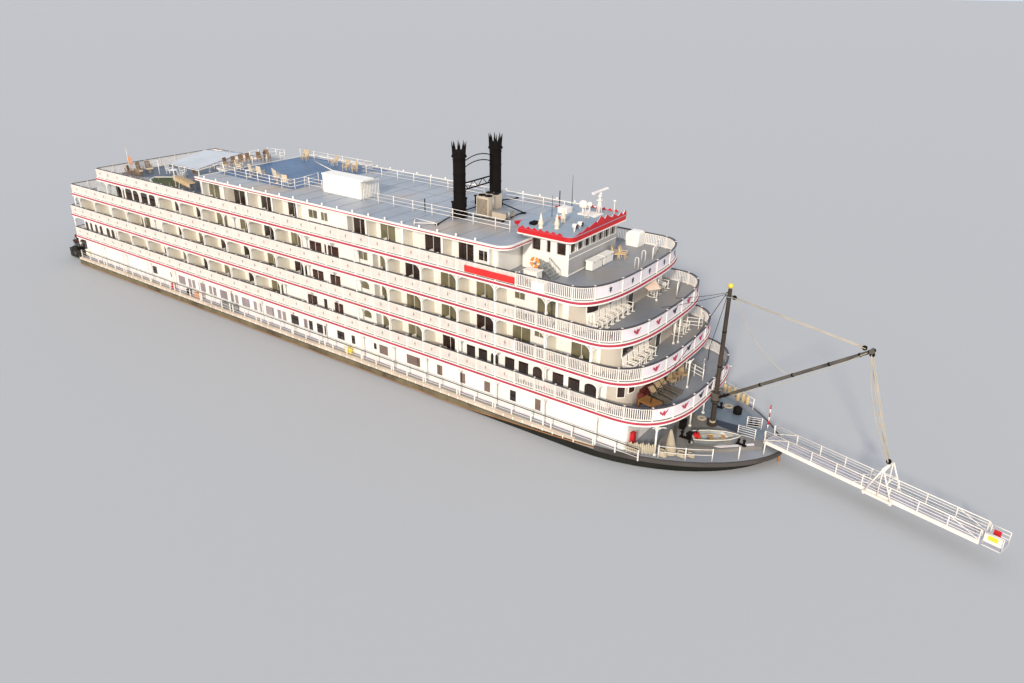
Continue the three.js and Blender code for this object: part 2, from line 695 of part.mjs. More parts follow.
const boat = new THREE.Group();
boat.name = 'paddle_boat';
boat.scale.setScalar(MODEL_SCALE);
boat.position.set(-HULL_MIDDLE_X * MODEL_SCALE, 0, DRAFT * MODEL_SCALE);

function add(name, body, look, parent = boat) {
  const mesh = new THREE.Mesh(geometryOf(body), finish(look));
  mesh.name = name;
  parent.add(mesh);
}

function group(parent, x, y, z, heading = 0) {
  const made = new THREE.Group();
  made.position.set(x, y, z);
  made.rotation.z = heading;
  parent.add(made);
  return made;
}

const SIDES = [['starboard', -1], ['port', 1]];

add('hull', hull(), 'hull');
add('main_deck', mainDeck(), 'deck');
add('foredeck_platform', foredeck(), 'deck');
HOUSES.forEach((row) => add(`house_${row.n}`, house(row), 'white'));
DECKS.forEach((row) => {
  add(`deck_${row.n}`, deckSlab(row), 'deck');
  add(`railing_${row.n}`, railing(row), 'white');
});
add('sun_deck', sunDeck(), 'deck');
add('bow_porch', bowPorch(), 'white');
Object.entries(SUN_RAILS).forEach(([name, path]) => add(`sun_rail_${name}`, fence(path, {
  z: ROOF_Z + GAP, height: 1.0, rows: 2, spacing: 2.9, bar: 0.07, thickness: 0.06,
}), 'white'));
add('roof_deckhouse', box(12.65, 17.65, -3.6, -2.2, ROOF_Z + GAP, 16.45), 'white');
add('cooling_unit', box(29.2, 30.5, -1.15, 0.8, ROOF_Z + GAP, 16.45), 'beige');
add('pilothouse', pilothouseWalls(), 'white');
add('pilothouse_glass', pilothouseGlass(), 'glass');
add('pilothouse_roof', pilothouseRoof(), 'red');
add('radar_mast', radarMast(), 'white');
add('stack_bracing', stackBracing(), 'black');
add('awning', awning(), 'canvas');
add('mast', mast(), 'wood');

SIDES.forEach(([side, sign]) => {
  add(`main_rail_${side}`, mainRail(sign), 'white');
  add(`bow_rail_${side}`, bowRail(sign), 'white');
  add(`stack_${side}`, stack(sign), 'black');
  add(`wheel_beam_${side}`, wheelBeam(sign), 'steel');
  add(`rudder_${side}`, rudder(), 'steel', group(boat, RUDDER_X, sign * RUDDER_Y, 0));
});

const wheelGroup = group(boat, WHEEL_X, 0, WHEEL_Z);
add('paddlewheel', paddlewheel(), 'red', wheelGroup);

const radarGroup = group(boat, RADAR.x, RADAR.y,
  PILOT.top + PILOT_ROOF.thickness + RADAR.height + 2 * GAP);
add('radar_scanner', radarScanner(), 'white', radarGroup);

add('skiff', skiff(), 'steel', group(boat, SKIFF.x, SKIFF.y, FOREDECK.z + GAP, SKIFF.heading));

const boomGroup = group(boat, MAST_X, 0, 0, BOOM_HEADING);
add('boom', boom(), 'wood', boomGroup);
add('topping_lift', toppingLift(), 'rope', boomGroup);
add('stage_falls', stageFalls(), 'rope', boomGroup);
const stageGroup = group(boomGroup, STAGE.reach, STAGE.side, STAGE.z, STAGE_HEADING);
add('stage', stage(), 'white', stageGroup);
add('stage_flap', stageFlap(), 'white', group(stageGroup, STAGE.length, 0, 0));

const root = new THREE.Group();
root.add(boat);
export default root;
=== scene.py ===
# Looks of a sternwheel paddle boat, dressed round its packed 1:10 CAD model.
#
# Every place below is metres of the real boat, as in the CAD source: X runs to the bow, Y to
# port, Z up from the waterline. Shape.build turns these metres into metres of the model.
import math
import random

import bmesh
import bpy
import numpy as np
from mathutils import Matrix, Vector


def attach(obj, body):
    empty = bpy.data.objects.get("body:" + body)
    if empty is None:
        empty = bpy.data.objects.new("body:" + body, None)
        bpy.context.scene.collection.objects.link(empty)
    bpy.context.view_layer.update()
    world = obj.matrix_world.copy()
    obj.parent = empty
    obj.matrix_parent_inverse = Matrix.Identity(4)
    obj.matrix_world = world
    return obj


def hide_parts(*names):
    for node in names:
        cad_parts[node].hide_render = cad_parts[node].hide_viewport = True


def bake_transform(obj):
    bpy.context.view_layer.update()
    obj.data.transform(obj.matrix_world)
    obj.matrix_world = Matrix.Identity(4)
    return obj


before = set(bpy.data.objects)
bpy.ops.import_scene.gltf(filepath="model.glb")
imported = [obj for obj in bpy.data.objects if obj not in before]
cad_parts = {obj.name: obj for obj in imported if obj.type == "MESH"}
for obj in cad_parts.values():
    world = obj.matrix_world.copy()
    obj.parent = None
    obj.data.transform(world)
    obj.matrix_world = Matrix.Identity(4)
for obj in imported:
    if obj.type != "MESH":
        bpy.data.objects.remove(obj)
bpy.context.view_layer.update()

# Scale of the model and the real place of the model's origin
SCALE = 10.0
ORIGIN = Vector((14.15, 0.0, -1.9))
WATER_Z = 0.19

# Camera: real place, forward and up directions, lens for a 36 mm sensor
CAMERA_PLACE = Vector((69.918, -53.105, 32.660))
CAMERA_FORWARD = Vector((-0.52603304, 0.74354259, -0.41283612))
CAMERA_UP = Vector((-0.24933926, 0.32926016, 0.91072371))
CAMERA_LENS = 27.378

# Hull: half width, stern, start and length of the bow's curve and its power
HALF_BEAM = 7.93
STERN_X = -29.1
BOW_CURVE_X = 44.0
BOW_REACH = 13.4
BOW_POWER = 0.65

# Floors of the main deck, foredeck and roof, and thickness of a deck
MAIN_DECK_Z = 1.0
FOREDECK_Z = 1.3
ROOF_Z = 14.8
SLAB = 0.35

# Roundness of the decks' fronts: the power of their curve, 2 for an ellipse
FRONT_POWER = 2.95
# Decks: floor, aft end, middle of the front, depth of the rounding, ceiling above
DECKS = {
    2: {"z": 3.96, "aft": -29.0, "front": 51.47, "round": 5.5, "ceiling": 6.36},
    3: {"z": 6.71, "aft": -29.0, "front": 49.35, "round": 4.3, "ceiling": 9.11},
    4: {"z": 9.46, "aft": -27.8, "front": 47.88, "round": 3.6, "ceiling": 11.86},
    5: {"z": 12.21, "aft": -21.1, "front": 45.45, "round": 3.1, "ceiling": 14.55},
}

# Posts of the railings' front curves: places along X on the flank, then places along Y
FRONT_POSTS = {
    2: {"x": [43.3, 45.7, 47.9], "y": [6.75, 5.3, 2.9, 0.6]},
    3: {"x": [43.0, 44.94, 47.1], "y": [6.15, 3.65, 1.2]},
    4: {"x": [43.2, 45.5], "y": [6.7, 4.1, 1.4]},
    5: {"x": [43.1], "y": [6.8, 4.05, 1.4]},
}
# Grid of the posts along the flanks: place of one of them, and step
GRID_X = 24.7
GRID_STEP = 1.925

# Cabins: recessed wall's distance from the centreline and the dividers along X
CABINS = {
    2: {"wall": 6.3, "reach": 7.72, "dividers": [
        -19.1, -16.15, -12.9, -9.15, -5.35, -1.6, 2.3, 6.1, 24.7, 28.55]},
    3: {"wall": 6.3, "reach": 7.72, "dividers": [
        -26.5, -23.1, -19.4, -16.2, -9.25, -5.5, -1.65, 2.15, 5.95, 9.85,
        24.7, 28.55, 32.4, 36.2, 40.95, 44.94]},
    4: {"wall": 6.3, "reach": 7.72, "dividers": [
        -9.2, -5.25, -1.45, 6.15, 10.1, 24.7, 28.55, 32.4, 36.2, 41.84]},
    5: {"wall": 6.2, "reach": 7.35, "dividers": [
        2.2, 5.9, 9.6, 13.14, 22.0, 26.25, 30.55, 35.24]},
}

# How far from the centreline the plain panels of the fronts begin, by deck
SOLID_HALF = {2: 7.0, 3: 5.2, 4: 7.0, 5: 7.0}

# Posts that carry the deck above, by storey
EDGE_POSTS = {
    2: [-19.1, -16.15, -12.9, -9.15, -5.35, -1.6, 2.3, 6.1, 10.05, 13.9, 17.35, 20.8, 24.7,
        28.55, 32.4, 36.2, 40.95, 45.7],
    3: [-26.5, -23.1, -19.4, -16.2, -12.75, -9.25, -5.5, -1.65, 2.15, 5.95, 9.85, 13.9, 17.35,
        20.8, 24.7, 28.55, 32.4, 36.2, 40.95, 44.94],
    4: [-19.4, -16.2, -12.75, -9.2, -5.25, -1.45, 2.3, 6.15, 10.1, 13.9, 17.35, 20.8, 24.7,
        28.55, 32.4, 36.2, 40.95],
}
MAIN_DECK_POSTS = [-24.0, -19.1, -14.0, -9.15, -4.0, 1.0, 6.1, 10.9, 15.7, 20.8, 24.7, 28.55,
                   32.4, 36.2, 40.95, 45.7, 50.05]

# Glazed doors of the balconies: start and end along X, curtains drawn or not
DOORS = {
    2: [(-18.4, -16.7, 0), (-15.4, -13.7, 1), (-12.2, -10.4, 0), (-8.5, -6.7, 1),
        (-4.7, -2.9, 0), (-1.04, 0.75, 1), (3.08, 4.9, 0), (6.71, 8.5, 1),
        (22.4, 24.1, 1), (25.5, 27.25, 1), (29.5, 31.2, 0)],
    3: [(-25.8, -24.1, 0), (-22.4, -20.7, 1), (-18.7, -17.0, 0), (-16.0, -14.25, 1),
        (-12.0, -10.3, 0), (-8.6, -6.9, 0), (-4.85, -3.1, 1), (-1.0, 0.75, 0),
        (2.85, 4.6, 0), (6.6, 8.4, 1), (10.7, 12.45, 0), (22.45, 23.6, 1), (25.46, 27.2, 1),
        (29.45, 31.2, 1), (33.24, 34.95, 0), (36.9, 38.6, 1), (42.4, 44.2, 1)],
    4: [(-8.5, -6.8, 0), (-4.6, -2.8, 0), (-1.05, 0.65, 1), (2.8, 4.5, 1), (6.6, 8.4, 0),
        (10.6, 12.4, 1), (22.45, 23.6, 1), (25.46, 27.2, 0), (29.45, 31.2, 1),
        (33.24, 34.97, 1), (39.2, 40.95, 1)],
    5: [(-1.86, -0.12, 1), (2.28, 4.02, 0), (6.51, 8.24, 0), (10.51, 12.2, 0),
        (19.3, 21.0, 0), (22.63, 24.34, 1), (27.74, 29.57, 0), (31.35, 33.05, 0)],
}

# Flush windows: storey, sill, head, distance of the wall, look, form, starts and ends along X
WINDOWS = [
    (5, 13.3, 14.05, 6.9, "curtain", "square", [(14.2, 15.35), (15.85, 16.7)]),
    (5, 13.2, 14.0, 6.9, "dark", "square", [(33.95, 34.95)]),
    (4, 9.9, 11.5, 7.0, "dark", "arch", [
        (-18.65, -17.3), (-17.05, -15.7), (-15.5, -14.15), (-13.9, -12.6), (-12.3, -11.1)]),
    (4, 10.1, 11.1, 7.0, "brown", "square", [(14.03, 15.64), (16.05, 17.91)]),
    (4, 10.6, 11.35, 7.0, "curtain", "square", [(20.55, 21.6)]),
    (4, 10.55, 11.25, 6.3, "curtain", "square", [(37.05, 38.0)]),
    (3, 7.3, 8.3, 7.0, "brown", "square", [(14.08, 15.58), (16.5, 17.85)]),
    (3, 7.85, 8.6, 7.0, "curtain", "arch", [(20.6, 21.6)]),
    (3, 7.8, 8.6, 6.3, "curtain", "square", [(39.0, 39.9)]),
    (2, 4.6, 5.55, 7.0, "brown", "square", [(12.9, 14.36), (16.75, 17.93)]),
    (2, 4.6, 5.55, 7.0, "dark", "square", [(15.3, 15.76)]),
    (2, 5.05, 5.8, 7.0, "curtain", "arch", [(20.65, 21.65)]),
    (2, 4.6, 5.7, 7.0, "dark", "arch", [
        (-28.0, -27.35), (-26.95, -26.35), (-25.8, -25.2), (-24.75, -24.05), (-23.2, -22.45),
        (-22.1, -21.4)]),
    (2, 4.45, 5.6, 7.0, "dark", "square", [
        (32.7, 33.6), (33.95, 34.85), (36.65, 37.6), (38.0, 38.95), (41.23, 42.25),
        (42.67, 43.69)]),
    (2, 4.45, 5.6, 7.0, "dark", "arch", [(35.2, 36.0), (39.36, 40.3), (44.1, 45.2)]),
    (1, 1.95, 2.85, 7.2, "dark", "square", [(-13.9, -13.0)]),
    (1, 1.9, 2.85, 7.2, "dark", "square", [(37.33, 37.93)]),
    (1, 1.95, 2.8, 7.2, "dark", "square", [(17.0, 18.0), (18.95, 19.42)]),
    (1, 1.95, 2.85, 7.2, "blind", "square", [(22.45, 23.65), (25.95, 27.55)]),
    (1, 1.9, 2.85, 7.2, "blind", "square", [(29.5, 30.12), (32.05, 32.67), (34.68, 35.3)]),
    (1, 1.85, 2.85, 7.2, "blind", "square", [(39.8, 40.35)]),
]
LOOKS = {"dark": 1, "curtain": 2, "brown": 3, "lavender": 4, "blind": 5}
# Main deck's row of wide windows and narrow pairs, by their middles
WIDE_WINDOWS = [-8.15, -4.4, -0.55, 3.2, 7.1, 10.85, 14.8]
NARROW_PAIRS = [-6.3, -2.5, 1.3, 5.13, 8.95, 12.9]

# Half widths of the main deck's house and of the fronts above it
MAIN_HOUSE_HALF = 7.2
HOUSE_HALF = 7.0
# Rounded fronts of the houses: place along X and radius of the corners
FRONTS = {4: {"x": 43.9, "radius": 1.6}, 3: {"x": 46.6, "radius": 1.4},
          2: {"x": 47.5, "radius": 1.6}}
# Their windows: deck, start and end across, sill, head
FRONT_WINDOWS = [(4, 2.05, 3.62, 10.72, 11.4), (3, 1.05, 2.6, 7.7, 8.4), (2, 1.6, 3.4, 4.6, 5.7)]
# Windows on the rounded corners: deck, first and last degree round the corner, how far they
# go on along the front, sill, head
CORNER_WINDOWS = [(4, 52, 90, 0.2, 10.86, 11.55), (3, 72, 90, 1.3, 7.95, 8.7),
                  (2, 32, 54, 0.0, 5.0, 6.0), (2, 64, 90, 0.0, 5.25, 5.85)]

# Timber guard round the hull: heights of its lower and upper edge and of the kerb, along X
RUB_LOW = [(-32.0, 0.12), (33.0, 0.12), (38.3, 0.42), (42.8, 0.66), (45.2, 0.84), (47.0, 0.9),
           (58.0, 0.9)]
RUB_HIGH = [(-32.0, 0.74), (33.0, 0.74), (38.3, 0.70), (42.8, 0.84), (45.2, 0.985),
            (47.0, 0.99), (58.0, 0.99)]
KERB = [(-32.0, 1.0), (58.0, 1.0)]

# Chimneys' place along X and distance from the centreline
STACK_X, STACK_Y = 28.5, 2.53

# Bow gear, as in the CAD source
MAST_X = 51.92
BOOM_HEADING = math.radians(-7.5)
STAGE_HEADING = math.radians(-6.4)
BOOM_TIP = Vector((10.58, 0, 11.2))
STAGE = {"reach": 4.38, "side": 0.85, "z": 1.5, "length": 15.4, "width": 1.4, "rail": 0.95}
HEAD = {"foot1": 8.0, "foot2": 9.85, "apex": 8.9, "z": 2.1}
STAGE_PANELS = 8
STAGE_BOARDS = 88
BOOM_FRAME = Matrix.Translation((MAST_X, 0, 0)) @ Matrix.Rotation(BOOM_HEADING, 4, "Z")
STAGE_FRAME = (BOOM_FRAME @ Matrix.Translation((STAGE["reach"], STAGE["side"], STAGE["z"]))
               @ Matrix.Rotation(STAGE_HEADING, 4, "Z"))
FLAP_FRAME = STAGE_FRAME @ Matrix.Translation((STAGE["length"], 0, 0))

# Sternwheel
WHEEL = {"x": -31.95, "z": 0.75, "radius": 2.4, "depth": 0.75, "half": 6.3, "buckets": 12}


# Materials

def material(name, base, second, rough=(0.45, 0.65), scale=4.0, streak=0.0, bump=0.15,
             grain=90.0, metal=0.0, coat=0.0, dirt=None, dirt_scale=1.5, dirt_share=0.35):
    """Paint or fabric with two tones in broad clouds, optional runs and dirt, and fine grain."""
    made = bpy.data.materials.new(name)
    made.use_nodes = True
    nodes, links = made.node_tree.nodes, made.node_tree.links
    shader = nodes["Principled BSDF"]
    place = nodes.new("ShaderNodeTexCoord")

    def noise(size, detail=4.0, stretch=None):
        found = nodes.new("ShaderNodeTexNoise")
        found.inputs["Scale"].default_value = size
        found.inputs["Detail"].default_value = detail
        source = place.outputs["Object"]
        if stretch:
            mapping = nodes.new("ShaderNodeMapping")
            mapping.inputs["Scale"].default_value = stretch
            links.new(source, mapping.inputs["Vector"])
            source = mapping.outputs["Vector"]
        links.new(source, found.inputs["Vector"])
        return found.outputs["Fac"]

    def ramp(source, low, high, colors):
        found = nodes.new("ShaderNodeValToRGB")
        found.color_ramp.elements[0].position = low
        found.color_ramp.elements[1].position = high
        found.color_ramp.elements[0].color = (*colors[0], 1)
        found.color_ramp.elements[1].color = (*colors[1], 1)
        links.new(source, found.inputs["Fac"])
        return found.outputs["Color"]

    def mix(share, first, other):
        found = nodes.new("ShaderNodeMix")
        found.data_type = "RGBA"
        links.new(share, found.inputs["Factor"])
        links.new(first, found.inputs["A"])
        found.inputs["B"].default_value = (*other, 1)
        return found.outputs["Result"]

    color = ramp(noise(scale), 0.3, 0.7, (base, second))
    if streak:
        runs = ramp(noise(7.0, 6.0, (3.0, 3.0, 0.25)), 0.5, 0.72, ((0, 0, 0), (1, 1, 1)))
        darker = tuple(value * (1 - streak) for value in second)
        color = mix(runs, color, darker)
    if dirt:
        patch = ramp(noise(dirt_scale, 8.0), 1 - dirt_share - 0.12, 1 - dirt_share + 0.06,
                     ((0, 0, 0), (1, 1, 1)))
        color = mix(patch, color, dirt)
    links.new(color, shader.inputs["Base Color"])
    spread = nodes.new("ShaderNodeMapRange")
    spread.inputs["To Min"].default_value = rough[0]
    spread.inputs["To Max"].default_value = rough[1]
    links.new(noise(scale * 6), spread.inputs["Value"])
    links.new(spread.outputs["Result"], shader.inputs["Roughness"])
    relief = nodes.new("ShaderNodeBump")
    relief.inputs["Strength"].default_value = bump
    relief.inputs["Distance"].default_value = 0.002
    links.new(noise(grain, 3.0), relief.inputs["Height"])
    links.new(relief.outputs["Normal"], shader.inputs["Normal"])
    shader.inputs["Metallic"].default_value = metal
    shader.inputs["Coat Weight"].default_value = coat
    return made


def woven(name, base, second, across=900.0, sheen=0.3):
    """Fabric or rope: two tones crossed by fine threads."""
    made = material(name, base, second, rough=(0.8, 0.95), scale=8.0, bump=0.2)
    nodes, links = made.node_tree.nodes, made.node_tree.links
    threads = nodes.new("ShaderNodeTexWave")
    threads.bands_direction = "DIAGONAL"
    threads.inputs["Scale"].default_value = across / 20
    threads.inputs["Distortion"].default_value = 1.5
    place = next(node for node in nodes if node.type == "TEX_COORD")
    links.new(place.outputs["Object"], threads.inputs["Vector"])
    relief = next(node for node in nodes if node.type == "BUMP")
    relief.inputs["Strength"].default_value = 0.5
    links.new(threads.outputs["Fac"], relief.inputs["Height"])
    nodes["Principled BSDF"].inputs["Sheen Weight"].default_value = sheen
    return made


WHITE = material("white_paint", (0.78, 0.745, 0.68), (0.85, 0.825, 0.765), streak=0.10)
# Cream: the own colour of the doors and lockers; on the divider boards it is painted warm bounce
# light on boards that are white.
CREAM_AND_BOUNCE = material("cream_paint_and_painted_bounce", (0.86, 0.77, 0.61), (0.93, 0.87, 0.74), scale=6.0, streak=0.12)
# Darkened cream over the white walls of the rounded fronts: painted shade with warm bounce light.
FRONT_WALL_SHADE = material("front_wall_painted_shade", (0.47, 0.405, 0.325), (0.56, 0.49, 0.41), scale=6.0)
# Grey of the plates on the wheelhouse's white front: painted shade.
WHEELHOUSE_FRONT_SHADE = material("wheelhouse_front_painted_shade", (0.31, 0.30, 0.295), (0.38, 0.365, 0.36), scale=6.0)
RAIL_WHITE = material("rail_white", (0.76, 0.69, 0.62), (0.84, 0.78, 0.71), scale=9.0)
# Lilac grey: on the railings' plain front panels it paints the sky-lit shade on white panels; the
# main deck's foot board, the foredeck stripes and the radar bar's stripe share it.
PANEL_SHADE_GREY = material("rail_panel_painted_shade", (0.66, 0.60, 0.64), (0.78, 0.72, 0.74), scale=7.0)
SPRIG_GREY = material("sprig_grey", (0.22, 0.23, 0.21), (0.34, 0.34, 0.32), scale=9.0)
SPRIG_PINK = material("sprig_pink", (0.42, 0.20, 0.21), (0.52, 0.28, 0.28), scale=9.0)
LAVENDER = material("screened_glass", (0.23, 0.18, 0.19), (0.34, 0.28, 0.29), rough=(0.1, 0.25),
                    scale=6.0, streak=0.3, bump=0.05, coat=0.4)
CAP = material("cap_rail", (0.035, 0.035, 0.045), (0.075, 0.072, 0.085), rough=(0.35, 0.6))
RED = material("red_paint", (0.36, 0.022, 0.05), (0.46, 0.04, 0.075), scale=7.0, streak=0.12)
DARK_RED = material("dark_red_paint", (0.26, 0.012, 0.016), (0.36, 0.02, 0.022), scale=7.0)
BRIGHT_RED = material("bright_red_paint", (0.46, 0.006, 0.010), (0.57, 0.010, 0.015), scale=7.0)
DECK = material("deck_paint", (0.19, 0.20, 0.225), (0.275, 0.285, 0.305), rough=(0.35, 0.6),
                scale=2.0, dirt=(0.26, 0.235, 0.21), dirt_share=0.38, bump=0.3, grain=220.0)
ROOF = material("roof_paint", (0.24, 0.275, 0.32), (0.34, 0.37, 0.405), rough=(0.25, 0.5),
                scale=1.6, dirt=(0.40, 0.33, 0.27), dirt_scale=1.1, dirt_share=0.40, bump=0.3,
                grain=220.0)
ROOF_BLUE = material("roof_blue", (0.032, 0.09, 0.19), (0.065, 0.14, 0.26), rough=(0.3, 0.5),
                     scale=2.2, bump=0.3, grain=220.0)
BOW_BLUE = material("bow_deck", (0.075, 0.105, 0.135), (0.165, 0.205, 0.245), rough=(0.3, 0.6),
                    scale=2.4, dirt=(0.07, 0.10, 0.12), dirt_scale=3.0, dirt_share=0.3)
NAVY = material("navy_paint", (0.012, 0.018, 0.032), (0.025, 0.034, 0.055))
HULL = material("hull_paint", (0.010, 0.011, 0.009), (0.022, 0.021, 0.016), rough=(0.5, 0.8),
                scale=2.0, streak=0.35, dirt=(0.07, 0.045, 0.022), dirt_scale=2.2,
                dirt_share=0.25)
KERB_CREAM = material("kerb_cream", (0.50, 0.40, 0.31), (0.66, 0.56, 0.45), scale=7.0)
BOW_GREY = material("bow_grey", (0.17, 0.155, 0.14), (0.25, 0.23, 0.21), rough=(0.4, 0.65),
                    scale=2.6, dirt=(0.11, 0.10, 0.09), dirt_share=0.3, bump=0.3, grain=220.0)
# Bow edge: the pale grey edge darkened to paint the shade it lies in.
BOW_EDGE_SHADE = material("bow_edge_painted_shade", (0.05, 0.044, 0.041), (0.085, 0.075, 0.07), scale=3.0)
BLIND = material("drawn_blind", (0.14, 0.092, 0.08), (0.205, 0.143, 0.118), rough=(0.15, 0.3),
                 scale=6.0)
RUB = material("rub_rail", (0.11, 0.085, 0.045), (0.19, 0.155, 0.085), scale=5.0, streak=0.3,
               bump=0.5, grain=120.0, dirt=(0.045, 0.03, 0.018), dirt_scale=4.0, dirt_share=0.4)
BLACK = material("stack_black", (0.003, 0.0027, 0.0025), (0.009, 0.006, 0.005),
                 rough=(0.8, 0.95), scale=5.0, streak=0.4)
GLASS = material("dark_glass", (0.012, 0.007, 0.006), (0.034, 0.017, 0.013), rough=(0.05, 0.12),
                 scale=5.0, bump=0.0, coat=0.6)
CURTAIN = material("curtained_glass", (0.10, 0.09, 0.045), (0.23, 0.20, 0.12),
                   rough=(0.1, 0.25), scale=6.0, streak=0.5, bump=0.05, coat=0.5)
BROWN = material("brown_glass", (0.036, 0.011, 0.008), (0.062, 0.022, 0.016),
                 rough=(0.08, 0.2), scale=6.0, streak=0.4, bump=0.05, coat=0.5)
TIMBER = material("mast_timber", (0.018, 0.012, 0.008), (0.060, 0.040, 0.026),
                  rough=(0.5, 0.8), scale=6.0, streak=0.4, bump=0.4, grain=140.0)
SPAR = material("boom_timber", (0.050, 0.043, 0.034), (0.12, 0.10, 0.078), scale=8.0, bump=0.4,
                grain=140.0)
GOLD = material("gold_leaf", (0.85, 0.58, 0.03), (0.95, 0.72, 0.10), rough=(0.2, 0.35),
                metal=0.4)
ORANGE = material("orange_plastic", (0.85, 0.21, 0.02), (0.92, 0.30, 0.04), bump=0.1)
STRAW = material("straw_plastic", (0.46, 0.34, 0.17), (0.62, 0.49, 0.29), bump=0.1)
TAN = material("tan_wicker", (0.55, 0.38, 0.19), (0.68, 0.51, 0.30), scale=30.0, bump=0.6,
               grain=300.0)
WOOD = material("varnished_wood", (0.34, 0.15, 0.04), (0.48, 0.235, 0.07), rough=(0.25, 0.45),
                scale=12.0, coat=0.3)
STEEL = material("grey_steel", (0.26, 0.27, 0.27), (0.40, 0.41, 0.40), rough=(0.35, 0.6),
                 metal=0.6, scale=9.0)
BEIGE = material("beige_unit", (0.46, 0.38, 0.28), (0.58, 0.49, 0.38), scale=6.0, streak=0.2)
GREEN = woven("putting_turf", (0.045, 0.06, 0.015), (0.085, 0.105, 0.03), across=4000.0, sheen=0.0)
ROPE = woven("laid_rope", (0.40, 0.33, 0.22), (0.56, 0.48, 0.35), across=3000.0)
CANVAS = woven("awning_canvas", (0.26, 0.27, 0.26), (0.60, 0.60, 0.58))
TAN_CANVAS = woven("tan_canvas", (0.55, 0.40, 0.30), (0.68, 0.53, 0.42))
STAGE_FLOOR = material("stage_boards", (0.34, 0.34, 0.39), (0.47, 0.46, 0.50), scale=9.0)
SIGN_YELLOW = material("yellow_paint", (0.80, 0.60, 0.03), (0.88, 0.70, 0.07), scale=9.0)
RUST = material("rusty_iron", (0.26, 0.10, 0.035), (0.42, 0.20, 0.08), rough=(0.6, 0.9),
                scale=8.0, bump=0.5, grain=160.0)
CREAM_RIM = material("cream_rim", (0.62, 0.56, 0.44), (0.76, 0.70, 0.57), scale=9.0)
# Wheel boards: red paint, darkened to paint the shade the wheel stands in under the stern.
WHEEL_RED_IN_SHADE = material("wheel_boards_painted_shade", (0.13, 0.02, 0.016), (0.26, 0.05, 0.035), rough=(0.5, 0.8),
                     scale=6.0, streak=0.4, bump=0.4, grain=120.0, dirt=(0.05, 0.045, 0.04))
WHEEL_IRON = material("wheel_iron", (0.025, 0.022, 0.02), (0.07, 0.05, 0.04), rough=(0.5, 0.8),
                      scale=8.0, bump=0.4, dirt=(0.14, 0.07, 0.035), dirt_share=0.25)
PLASTIC = material("chair_white", (0.72, 0.71, 0.70), (0.82, 0.81, 0.79), scale=9.0)
SIGN_RED = material("sign_red", (0.60, 0.020, 0.018), (0.72, 0.035, 0.03), rough=(0.35, 0.5),
                    scale=4.0)
CHAIR_CREAM = material("chair_cream", (0.86, 0.80, 0.71), (0.93, 0.88, 0.80), scale=9.0)
LOUNGER_GREY = material("lounger_grey", (0.10, 0.08, 0.06), (0.18, 0.15, 0.11), scale=12.0)
CUSHION = material("tan_cushion", (0.34, 0.235, 0.125), (0.44, 0.325, 0.19), scale=12.0)
CHAIR_STRAW = material("chair_straw", (0.62, 0.50, 0.35), (0.74, 0.63, 0.48), scale=12.0)
PALE_WICKER = material("pale_wicker", (0.62, 0.44, 0.30), (0.74, 0.58, 0.44), scale=20.0, bump=0.5,
                       grain=300.0)
BROWN_WICKER = material("brown_wicker", (0.16, 0.09, 0.045), (0.30, 0.19, 0.10), scale=20.0,
                        bump=0.5, grain=300.0)
BENCH_RED = material("bench_red", (0.09, 0.012, 0.008), (0.14, 0.024, 0.014), scale=8.0)
TABLE_WOOD = material("oiled_table", (0.20, 0.085, 0.02), (0.30, 0.135, 0.04), scale=8.0)
ORANGE_WOOD = material("orange_crate", (0.52, 0.22, 0.10), (0.66, 0.34, 0.18), scale=9.0)
DARK_BLUE_FLOOR = material("terrace_blue", (0.05, 0.075, 0.11), (0.09, 0.12, 0.16), scale=3.0,
                           rough=(0.3, 0.6))
AWNING = woven("terrace_awning", (0.35, 0.385, 0.43), (0.43, 0.465, 0.51))
FLAG_CLOTH = woven("flag_cloth", (0.50, 0.20, 0.09), (0.62, 0.32, 0.17))
ROOF_SEAM = material("roof_seam", (0.16, 0.18, 0.20), (0.22, 0.24, 0.26), scale=6.0)
ROOF_TOP = material("pilothouse_blue_grey", (0.22, 0.28, 0.34), (0.32, 0.37, 0.42), scale=2.5,
                    dirt=(0.30, 0.26, 0.22), dirt_share=0.3)


# Mesh tools

SIDES = (-1, 1)
ALONG, ACROSS, UP = (1, 0, 0), (0, 1, 0), (0, 0, 1)


def spots(start, end, count):
    """Evenly spaced numbers from start to end, both counted in."""
    return [start + (end - start) * i / (count - 1) for i in range(count)]


def even_spots(start, end, step):
    return spots(start, end, round((end - start) / step) + 1)


def circle(x, y, z, radius, count, plane="xy"):
    """Points evenly spaced round a circle that lies in the plane xy, xz or yz."""
    points = []
    for t in spots(0, 2 * math.pi, count + 1)[:-1]:
        a, b = radius * math.cos(t), radius * math.sin(t)
        points.append({"xy": (x + a, y + b, z), "xz": (x + a, y, z + b),
                       "yz": (x, y + a, z + b)}[plane])
    return points


def sag(a, b, drop, count=9):
    """Points of a rope that hangs between two places."""
    a, b = Vector(a), Vector(b)
    return [a.lerp(b, t) - Vector((0, 0, 4 * drop * t * (1 - t))) for t in spots(0, 1, count)]


def facing(out_x, out_y, distance):
    """Frame of a wall that faces out_x, out_y: x runs along the wall and y out of it."""
    return Matrix(((abs(out_y), out_x, 0, out_x * distance),
                   (abs(out_x), out_y, 0, out_y * distance), (0, 0, 1, 0), (0, 0, 0, 1)))


